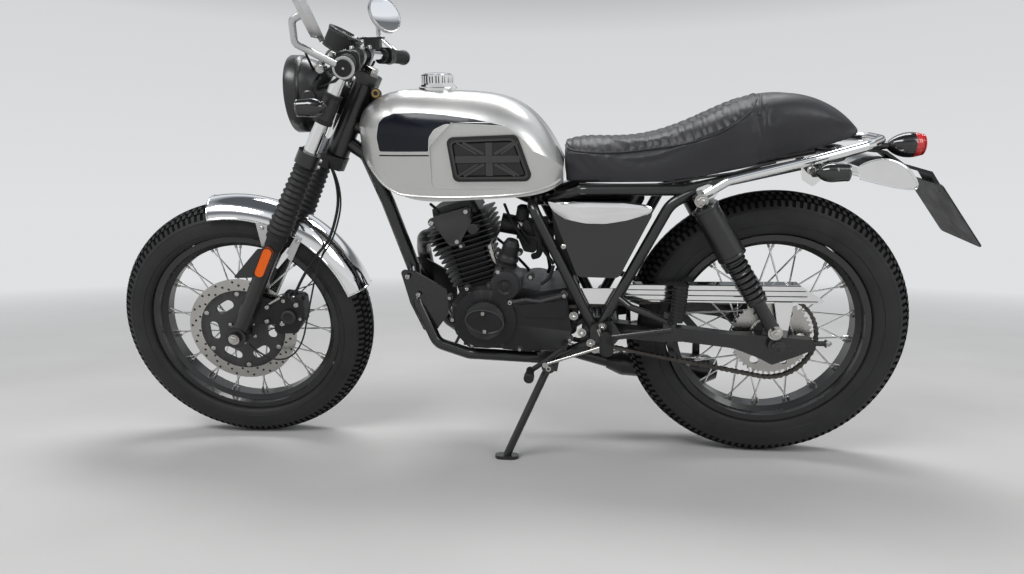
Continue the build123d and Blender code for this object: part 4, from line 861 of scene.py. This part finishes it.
COVER_LIP = [(140, 664), (152, 661), (230, 663), (310, 661), (362, 654), (374, 646), (364, 633),
    (320, 619), (270, 611), (222, 612), (182, 621), (152, 642)]
lip, studs = Batch(), Batch()
for side in SIDES:
    outline = rounded(COVER_LIP, 8, 3)
    lip.rings([[(x, side * out, z) for x, z in scaled(outline, 258, 640, share, share)] for share, out
        in ((1, 121), (1, 125), (0.93, 128.5), (0.72, 130.5), (0.35, 131.5), (0.02, 131.8))])
    studs.bolt((176, side * 125, 560), radius=6, height=3)
lip.build("side_cover_lip", "chrome")
studs.build("side_cover_studs", "steel")

# suspension, axles and stand fastenings

bright, dark_nuts = Batch(), Batch()
for side in SIDES:
    bright.nut((472, side * 151, 668), radius=11, height=9)
    bright.nut((650, side * 151, 369), radius=12, height=9)
    dark_nuts.nut((660, side * 136, 333), radius=14, height=10)
    bright.nut((774, side * 112, 331), axis=(1, 0, 0), radius=7, height=9)
    bright.bolt((700, side * 123, 728), radius=8, height=5)
    bright.rod((760, side * 112, 331), (776, side * 112, 331), 4)
bright.bolt((140, -133, 262), axis=(0.009, -0.986, 0.165), radius=8, height=5)
bright.build("frame_fastenings", "steel")
dark_nuts.build("axle_nuts", "engine_black")

# dark strips under the chain guard's ribs: painted shadow lines
guard_painted_shadow_lines = Batch()
GUARD_TOP = 467
for drop, low, high in ((4.5, 322, 712), (17, 322, 724), (29.5, 322, 728), (41.5, 302, 752)):
    guard_painted_shadow_lines.block(((low + high) / 2, -95.6, GUARD_TOP - drop), (high - low, 1.4, 1.6))
guard_painted_shadow_lines.build("guard_shade_lines", "satin_black")

coils = Batch()
shock_top, shock_low = Vector((472, -138, 668)), Vector((650, -138, 369))
direction = (shock_low - shock_top).normalized()
for side in SIDES:
    flip = Vector((1, -side, 1))
    base, axis = shock_top * flip, direction * flip
    x = axis.orthogonal().normalized()
    y = axis.cross(x)
    coils.tube([base + axis * (148 + 14 * turn) + (x * cos(2 * pi * turn) + y * sin(2 * pi * turn)) *
        21.5 for turn in (k / 16 for k in range(8 * 16 + 1))], 3.2, 8)
    for profile in ([(17, 29), (19, 30), (24, 30), (26, 29)], [(139, 31.2), (141, 32), (146, 32),
            (148, 29)]):
        coils.turned(base, axis, profile, 36)
coils.build("shock_springs", "frame_black")

ribs = Batch()
for side in SIDES:
    for k in range(10):
        z = 404 + 8.3 * k
        ribs.turned((432 + (z - 398) * 0.05, side * (160 + (z - 398) * 0.06), z),
            (0.05, side * 0.06, 1), band(0, 5, 15.5, 1.7), 24)
    for k in range(11):
        y = 156 + 6.8 * k
        ribs.turned((274.2, side * y, 350), (0, side, 0), band(0, 5, 14, 1.6), 24)
    ribs.turned((98 if side < 0 else 80, side * 176, 262 if side < 0 else 282), (0, side, 0), [(0, 10),
        (1, 12), (18, 12), (20, 10)], 20)
ribs.build("peg_rubbers", "rubber")
linkage = Batch()
linkage.rod((134, -152, 281), (272, -152, 330), 3.6)
for x, z in ((134, 281), (272, 330)):
    linkage.turned((x, -146, z), (0, -1, 0), [(0, 7), (12, 7)], 16)
linkage.rod((272, -150, 330), (256, -150, 372), 5)
linkage.build("gear_linkage", "steel")

# bars, mirrors, grips and controls

BAR_END = Vector((-258, 352, 972))
BAR_INNER = Vector((-287, 175, 983))


def bar_point(side, distance, *offset):
    """A point by the bar's outer stretch, distance measured in from its end."""
    end, inner = (point * Vector((1, side, 1)) for point in (BAR_END, BAR_INNER))
    return end + (inner - end).normalized() * distance + Vector(offset or (0, 0, 0))


def bar_line(side):
    return (bar_point(side, 10) - bar_point(side, 0)).normalized()


def away_from_bar(point):
    """Distance from the bar's line and along it from its end."""
    side = 1 if point.y > 0 else -1
    along, offset = bar_line(side), point - bar_point(side, 0)
    return (offset - along * offset.dot(along)).length, offset.dot(along)


paint_faces("bar_mirrors", "steering", satin_black, lambda p: away_from_bar(p)[0] < 15.6 and
    away_from_bar(p)[1] < 0.5)
mirrors, rims = Batch(), Batch()
for side, back, up, facing in ((LEFT, -40, 97, (0.90, 0.23, 0.36)), (RIGHT, -52, 116,
        (0.72, -0.58, 0.38))):
    face = Vector(facing).normalized()
    centre = bar_point(side, 0, back, side * 48, up)
    mirrors.turned(centre + face * 3, face, [(0, 49.5), (1, 49.5), (1.6, 47.5)], 64)
    rims.turned(centre, face, [(3, 52.8), (5, 52.6), (5.6, 51.6), (5.2, 50.3), (4.2, 50)], 64)
mirrors.build("mirror_glass", body="steering", finish=[mirror_silver])
rims.build("mirror_rims", "alloy", "steering")

grips, dark, silver = Batch(), Batch(), Batch()
for side in SIDES:
    along = bar_line(side)
    for k in range(20):
        grips.turned(bar_point(side, 14 + 5 * k), along, band(0, 3.4, 16.5, 1.1, 0.7), 28)
    for ring in (13.5, 10, 6.5, 3):
        dark.turned(bar_point(side, -9), -along, [(-1, ring), (0.7, ring), (0.7, ring - 1.2),
            (-1, ring - 1.2)], 28)
    silver.turned(bar_point(side, -9.2), -along, [(0, 2.4), (0.8, 2.2)], 12)
    dark.block(bar_point(side, 144, 14, 0, 12), (16, 13, 9))
    dark.block(bar_point(side, 144, 17, 0, -4), (12, 16, 8))
    silver.bolt(bar_point(side, 144, -6, side * -4, 21), (0, 0, 1), 3, 2)
    pivot = bar_point(side, 168, -34, 0, 4)
    silver.turned(pivot - Vector((0, 0, 11)), (0, 0, 1), [(0, 6.5), (22, 6.5), (23, 5)], 18)
    lever = smooth_path([pivot, bar_point(side, 138, -53, 0, 2), bar_point(side, 70, -53, 0, 0),
        bar_point(side, 14, -45, 0, -2)])
    silver.tube(lever, 6.1, 12, flat=0.8)
    silver.turned(lever[-1] - along * 2, -along, [(-8, 3), (-6, 7), (0, 8.6), (6, 7), (8.6, 2)], 20)
cup = bar_point(RIGHT, 180, -18, 0, 40)
dark.block(cup + Vector((0, 0, 2)), (56, 44, 5))
for dx, dy in ((-20, -14), (20, -14), (20, 14), (-20, 14)):
    silver.bolt(cup + Vector((dx, dy, 4.5)), (0, 0, 1), 3, 2)
clamp = Vector((-299, 0, 987))
for y in (-40, 40):
    for dx in (-12, 12):
        for dy in (-6, 6):
            silver.bolt(clamp + Vector((dx, y + dy, 16)), (0, 0, 1), 4.5, 6)
grips.build("grip_ribs", "rubber", "steering")
dark.build("control_details", "satin_black", "steering")
for side in SIDES:
    top = along_leg(734, side)
    silver.turned(top, STEER_DIR, [(4, 17.5), (8, 17.5), (9, 15)], 28)
    silver.turned(top, STEER_DIR, [(9, 9), (14, 9), (15, 8)], 6)
stem = along_leg(726, 0) + STEER_BACK * YOKE_OFFSET
silver.turned(stem, STEER_DIR, [(0, 21), (3, 21), (4, 17), (14, 17), (15, 15)], 6)
for side in SIDES:
    silver.nut((-660, side * 125, 325), radius=10, height=7)
for up in (508, 492, 712):
    silver.bolt(along_leg(up, LEFT) + STEER_BACK * 27, STEER_BACK, 5, 5)
silver.build("control_silver", "steel", "steering")

# headlamp and instrument

LAMP = Vector((-405.64, 0, 903.61))
shell, optic = Batch(), Batch()
shell.turned(LAMP, (-1, 0, 0), [(26, 84), (30, 87.5), (34, 88.5), (56, 88.5), (60, 86), (62, 80),
    (58, 77.5)], 72)
for side in SIDES:
    shell.turned(LAMP + Vector((0, side * 98, 0)), (0, side, 0), [(-6, 15), (2, 15), (4, 12)], 24)
optic.turned(LAMP + Vector((-52.6, 0, 0)), (-1, 0, 0), [(-0.4, 76), (1, 76), (0.6, 60), (-0.1, 30),
    (-0.2, 17), (7, 15), (8, 9), (8.2, 0.5)], 64)
for turn in turns(12):
    foot = LAMP + Vector((-53.4, 24 * cos(turn), 24 * sin(turn)))
    optic.rod(foot, LAMP + Vector((-54, 70 * cos(turn), 70 * sin(turn))), 1.3, 6)
shell.build("lamp_ring", "gloss_black", "steering", finish=[shell_black])
optic.build("lamp_reflector", "chrome", "steering", finish=[reflector])

DIAL = Vector((-340.3, 0, 1015.8))
dial_up = Vector((0.5, 0, 0.87)).normalized()
dial_back = Vector((0.87, 0, -0.5)).normalized()
dial, marks = Batch(), Batch()
dial.turned(DIAL, dial_up, [(17, 41), (22, 42), (25, 41), (25.5, 37), (21, 35.5)], 64)
dial.turned(DIAL, dial_up, [(-22.2, 34), (-20, 40.8), (-17, 41)], 48)
marks.turned(DIAL, dial_up, [(19.6, 35.8), (20.4, 35.8)], 48)
for k in range(28):
    turn = radians(-130 + 260 * k / 27)
    out = (dial_back * -cos(turn) + Vector((0, 1, 0)) * sin(turn))
    size = 6 if k % 3 == 0 else 3.4
    marks.block(DIAL + dial_up * 20.9 + out * (33 - size / 2), (size, 0.9, 0.6), (out,
        dial_up.cross(out), dial_up), kind=1)
needle = dial_back * 0.6 + Vector((0, -0.8, 0))
marks.block(DIAL + dial_up * 21.6 + needle * 11, (26, 1.2, 0.7), (needle, dial_up.cross(needle),
    dial_up), kind=2)
marks.turned(DIAL + dial_up * 21, dial_up, [(0, 4), (1.6, 4), (2, 3)], 20)
dial.build("dial_case", "satin_black", "steering", finish=[gloss_black])
marks.build("dial_face", body="steering", finish=[satin_black, pale_line, red])

# fork, mudguard and brake

fork, chromed = Batch(), Batch()
for side in SIDES:
    foot = along_leg(0, side)
    for profile in (band(284, 292, 24.2, 1.4), band(470, 477, 22, 1.6), [(255, 19.6), (262, 21.5),
            (276, 21.5), (284, 24)], band(590, 601, 21.1, 1.3), band(652, 661, 21.1, 1.3)):
        fork.turned(foot, STEER_DIR, profile, 36)
    rim = along_leg(223, side, 3) + Vector((0, side * 26.4, 0))
    loop = [rim + STEER_DIR * ((28.5 if sin(turn) > 0 else -28.5) + 12.2 * sin(turn)) + STEER_BACK *
        12.2 * cos(turn) for turn in turns(40)]
    fork.tube(loop + loop[:2], 1.5, 8)
fork.build("fork_details", "satin_black", "steering")

GUARD_CROWN, GUARD_EDGE, GUARD_HALF = 343, 294, 64


def guard_point(turn, radius, y):
    return (FRONT_X + radius * sin(turn), y, FRONT_R + radius * cos(turn))


for side in SIDES:
    chromed.tube([guard_point(radians(-8 + 81 * k / 45), GUARD_EDGE + 1, side * 62.9) for k in
        range(46)], 2.6, 10)
reach = (GUARD_CROWN ** 2 - GUARD_EDGE ** 2 - GUARD_HALF ** 2) / (2 * (GUARD_CROWN - GUARD_EDGE))
radius = GUARD_CROWN - reach
spread = atan2(GUARD_HALF, GUARD_EDGE - reach)
for turn in (radians(-8), radians(73)):
    arc = [-spread + 2 * spread * k / 24 for k in range(25)]
    chromed.tube([guard_point(turn, reach + (radius - 1.2) * cos(at), (radius - 1.2) * sin(at)) for at
        in arc], 2.6, 10)
chromed.build("mudguard_beads", "chrome", "steering")

stays = Batch()
for side in SIDES:
    for outline in ([(-582, 611), (-555, 602), (-560, 552), (-575, 540)], [(-474, 566), (-486, 577),
            (-523, 524), (-507, 508)]):
        stays.prism(outline, side * 66, side * 69)
    for x, z in ((-568, 596), (-486, 560)):
        stays.bolt((x, side * 69, z), radius=5, height=3)
stays.build("mudguard_stays", "alloy", "steering")

holes, brake = Batch(), Batch()
for row, reach in enumerate((112.5, 121.5, 130.5)):
    for k in range(18):
        turn = 2 * pi * (k + row / 3) / 18
        holes.turned((FRONT_X + reach * cos(turn), -62.3, FRONT_R + reach * sin(turn)), (0, -1, 0),
            [(-0.3, 3.2), (0.12, 3.2)], 12)
for k in range(6):
    turn = 2 * pi * (k + 0.5) / 6
    for reach, profile, corners in ((99, [(-1, 6), (1.5, 6), (2, 5)], 16), (34, [(-1, 5), (3.5, 5),
            (4, 4)], 6)):
        holes.turned((FRONT_X + reach * cos(turn), -63.6, FRONT_R + reach * sin(turn)), (0, -1, 0),
            profile, corners, kind=1)
holes.build("disc_holes", "steel", "front_wheel", finish=[satin_black, steel])
CALIPER_X = FRONT_X + 121
for x, z, size in ((CALIPER_X - 8, 350, 7), (CALIPER_X + 34, 400, 7), (CALIPER_X + 4, 412, 6),
        (CALIPER_X + 40, 362, 5), (CALIPER_X - 46, 358, 6.5), (CALIPER_X - 40, 396, 6.5)):
    brake.bolt((x, -85, z), radius=size, height=6, kind=1)
brake.turned((CALIPER_X + 12, -91, 369), (0, -1, 0), [(-2, 18), (3, 18), (5, 14), (3.5, 9), (3, 1)], 32)
brake.turned((CALIPER_X + 26, -76, 413), (0.1, -0.4, 1), [(0, 6), (10, 6), (12, 4)], 14, kind=1)
brake.rod((CALIPER_X - 34, -84, 404), (CALIPER_X - 4, -84, 420), 4, kind=1)
for k in range(4):
    brake.block((CALIPER_X + 18 + 6 * k, -73, 424 - 8 * k), (3, 26, 14))
brake.build("caliper_details", "engine_black", "steering", finish=[engine_black, steel])

# ignition lock and head wiring

lock, brass_face = Batch(), Batch()
lock_at = Vector((-262, -28, 900))
lock_axis = Vector((0.1, -1, 0.15))
lock.turned(lock_at, lock_axis, [(0, 12), (10, 12), (12, 11)], 28)
lock.turned(lock_at, lock_axis, [(12, 5), (15, 5), (15.5, 4)], 20)
lock.rod(lock_at, (-282, 0, 880), 6)
brass_face.turned(lock_at, lock_axis, [(11, 9.6), (12.6, 9.6), (12.6, 6.4)], 28)
lock.build("ignition_lock", "satin_black")
brass_face.build("lock_face", finish=[brass])

wires = Batch()
for side in SIDES:
    for path, radius in (([(-306, 176, 968), (-314, 148, 952), (-338, 116, 938), (-368, 84, 926),
            (-392, 50, 920), (-404, 24, 916)], 3.4), ([(-318, 166, 974), (-336, 138, 966),
            (-366, 100, 958), (-390, 62, 944), (-402, 36, 930), (-408, 16, 920)], 3),
            ([(-336, 178, 990), (-372, 150, 1004), (-398, 104, 1000), (-404, 60, 976), (-400, 34, 944),
            (-396, 22, 908)], 2.8)):
        wires.tube(smooth_path([(x, side * y, z) for x, y, z in path]), radius, 10)
wires.tube(smooth_path([(-350, 12, 1000), (-366, 10, 980), (-380, 8, 950), (-392, 6, 920)]), 4, 10)
wires.turned((-392, 0, 936), (-0.3, 0, 1), [(-30, 15), (-28, 17), (26, 17), (28, 15)], 24)
wires.build("bar_wiring", "satin_black", "steering")

# tail bead, indicator lenses and tail lamp ribs

bead = Batch()
for side in SIDES:
    edge = [(812, 727), (845, 739.4), (876, 741), (912, 723), (940, 687), (930, 677), (880, 685),
        (820, 701)]
    bead.tube(smooth_path([(x, side * 69.4, z) for x, z in edge], 5), 1.8, 8)
bead.build("rear_guard_bead", "chrome")

for name, body, (x, y, z), ahead, profile in (("rear_indicator_lenses", "frame", (728, 164, 728), 1,
        [(28, 17), (31, 18.6), (33, 18.2), (35, 12), (35.6, 0.5)]), ("front_indicator_lenses",
        "steering", (-382.64, 158, 885.61), -1, [(28, 17), (31, 18.8), (33, 18.4), (36, 12),
        (36.6, 0.5)])):
    lenses = Batch()
    for side in SIDES:
        lenses.turned((x, side * y, z), (ahead, 0, 0), profile, 32)
    lenses.build(name, body=body, finish=[smoked])
lens = Batch()
for k in range(5):
    lens.turned((948 + 4.4 * k, 0, 766), (1, 0, 0), [(0, 26.6 - k), (1, 27.6 - k), (2.4, 27.6 - k),
        (3.2, 26.4 - k)], 36)
lens.build("tail_lens_ribs", "red")

# brake hose and sensor cable

def cord_curve(name, route, radius):
    """A cable as a spline near the points, and its length in metres."""
    curve = bpy.data.curves.new(name, "CURVE")
    curve.dimensions = "3D"
    curve.bevel_resolution = 3
    curve.resolution_u = 8
    spline = curve.splines.new("NURBS")
    spline.points.add(len(route) - 1)
    for control, point in zip(spline.points, route):
        control.co = (*(STEERED @ Vector(point)), 1)
    spline.order_u = 3
    spline.use_endpoint_u = True
    curve.materials.append(rubber)
    probe = bpy.data.objects.new(name + "_line", curve.copy())
    scene.collection.objects.link(probe)
    line = probe.evaluated_get(bpy.context.evaluated_depsgraph_get()).to_mesh()
    points = [vertex.co.copy() for vertex in line.vertices]
    bpy.data.objects.remove(probe)
    curve.bevel_depth = radius * 0.001
    return (add_piece(name, curve, "steering"), sum((b - a).length for a, b in zip(points, points[1:])))


def steer_point(distance, back, y):
    return along_leg(distance, 0, -back) + Vector((0, y, 0))


hose_route = [steer_point(496, 40, -40), steer_point(455, 92, -56), steer_point(330, 116, -70),
    steer_point(282, 98, -78), Vector((CALIPER_X + 40, -77, 445)), Vector((CALIPER_X + 26, -75, 413))]
hose, hose_length = cord_curve("brake_line", hose_route, 3.6)
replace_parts(hose, "brake_hose")
sensor_route = [steer_point(500, 40, -46), steer_point(458, 100, -62), steer_point(332, 124, -76),
    steer_point(280, 108, -84), Vector((-474, -98, 380)), Vector((-500, -100, 292)),
    Vector((-548, -98, 250)), Vector((-606, -96, 262)), Vector((-640, -88, 296))]
sensor, sensor_length = cord_curve("sensor_cable", sensor_route, 2.2)

# studio

def seen_rays(tree):
    """1 for what the camera, metal and glass see, 0 for what lights the object."""
    paths = add_node(tree, "LightPath", {}).outputs
    value = paths["Is Camera Ray"]
    for kind in ("Is Glossy Ray", "Is Transmission Ray"):
        value = add_node(tree, "Math", {0: value, 1: paths[kind]}, operation="MAXIMUM").outputs[0]
    return value


HORIZON = (0.74, 0.75, 0.76)
material, tree, shader = new_material("pale_floor")
base = ramp(tree, noise_node(tree, 2.0, 4.0), (0.50, 0.50, 0.495), (0.54, 0.54, 0.535))
set_inputs(tree, shader, {"Base Color": base, "Roughness": 0.8, "Specular IOR Level": 0.2, "Normal":
    bump(tree, noise_node(tree, 180.0, 3.0), 0.1, 0.0006)})
reach = add_node(tree, "VectorMath", {0: coords(tree, 0.1)}, operation="LENGTH")
far = ramp(tree, reach.outputs["Value"], 0.0, 1.0, 0.20, 0.62)
amount = add_node(tree, "Math", {0: far, 1: seen_rays(tree)}, operation="MULTIPLY")
haze = add_node(tree, "Emission", {"Color": (*HORIZON, 1)})
blend = add_node(tree, "MixShader", {"Fac": amount.outputs[0], 1: shader.outputs[0], 2:
    haze.outputs[0]})
tree.links.new(blend.outputs[0], tree.nodes["Material Output"].inputs["Surface"])
mesh = bpy.data.meshes.new("floor")
mesh.from_pydata([(-30, -30, 0), (30, -30, 0), (30, 30, 0), (-30, 30, 0)], [], [(0, 1, 2, 3)])
mesh.materials.append(material)
floor = add_piece("floor", mesh)
floor.location = (0, 0, -0.0005)
floor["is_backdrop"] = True

world = bpy.data.worlds.new("studio")
scene.world = world
world.use_nodes = True
tree = world.node_tree
background = tree.nodes["Background"]
set_inputs(tree, background, {"Color": (0.82, 0.83, 0.84, 1), "Strength": 0.42})
sky = add_node(tree, "TexCoord", {})
parts = add_node(tree, "SeparateXYZ", {"Vector": sky.outputs["Generated"]})
dome = add_node(tree, "ValToRGB", {"Fac": parts.outputs["Z"]})
steps = dome.color_ramp.elements
for element, at, shade in ((steps[0], 0.02, HORIZON), (steps[1], 0.88, (0.10, 0.11, 0.12))):
    element.position = at
    element.color = (*shade, 1)
for at, shade in ((0.26, (0.66, 0.67, 0.68)), (0.40, (0.20, 0.21, 0.22)), (0.50, (0.16, 0.17, 0.18)),
        (0.58, (0.86, 0.89, 0.93)), (0.72, (0.80, 0.84, 0.90))):
    steps.new(at).color = (*shade, 1)
seen = add_node(tree, "Background", {"Color": dome.outputs["Color"], "Strength": 1.0})
mix = add_node(tree, "MixShader", {"Fac": seen_rays(tree), 1: background.outputs[0], 2:
    seen.outputs[0]})
tree.links.new(mix.outputs[0], tree.nodes["World Output"].inputs["Surface"])


def lamp(name, location, target, size, power):
    data = bpy.data.lights.new(name, "AREA")
    data.shape = "RECTANGLE"
    data.size, data.size_y = size
    data.energy = power
    piece = add_piece(name, data)
    piece.location = location
    piece.rotation_mode = "QUATERNION"
    piece.rotation_quaternion = (Vector(target) - Vector(location)).to_track_quat("-Z", "Y")


lamp("key", (-2.0, -3.2, 4.2), (0, 0.1, 0.5), (3.0, 1.4), 150)
lamp("fill", (3.4, -2.8, 2.6), (0.2, 0.1, 0.5), (1.6, 2.2), 55)
lamp("top", (0.3, 1.4, 4.4), (0, 0.1, 0.6), (3.6, 1.2), 120)

# the photograph's camera
camera = add_piece("camera", bpy.data.cameras.new("camera"))
camera.data.lens, camera.data.sensor_width = 24.0, 36.0
forward = Vector((-0.111999, 0.98976, -0.088493)).normalized()
up = Vector((-0.012187, 0.087678, 0.996074))
right = forward.cross(up).normalized()
up = right.cross(forward)
camera.matrix_world = Matrix(((right.x, up.x, -forward.x, 0.18444),
    (right.y, up.y, -forward.y, -1.55713), (right.z, up.z, -forward.z, 0.56773), (0, 0, 0, 1)))
camera.data.clip_start = 0.05
scene.camera = camera
scene.view_settings.view_transform = "Standard"

low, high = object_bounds()
{"cad": [list(cad_low), list(cad_high)], "visual": [list(low), list(high)]}
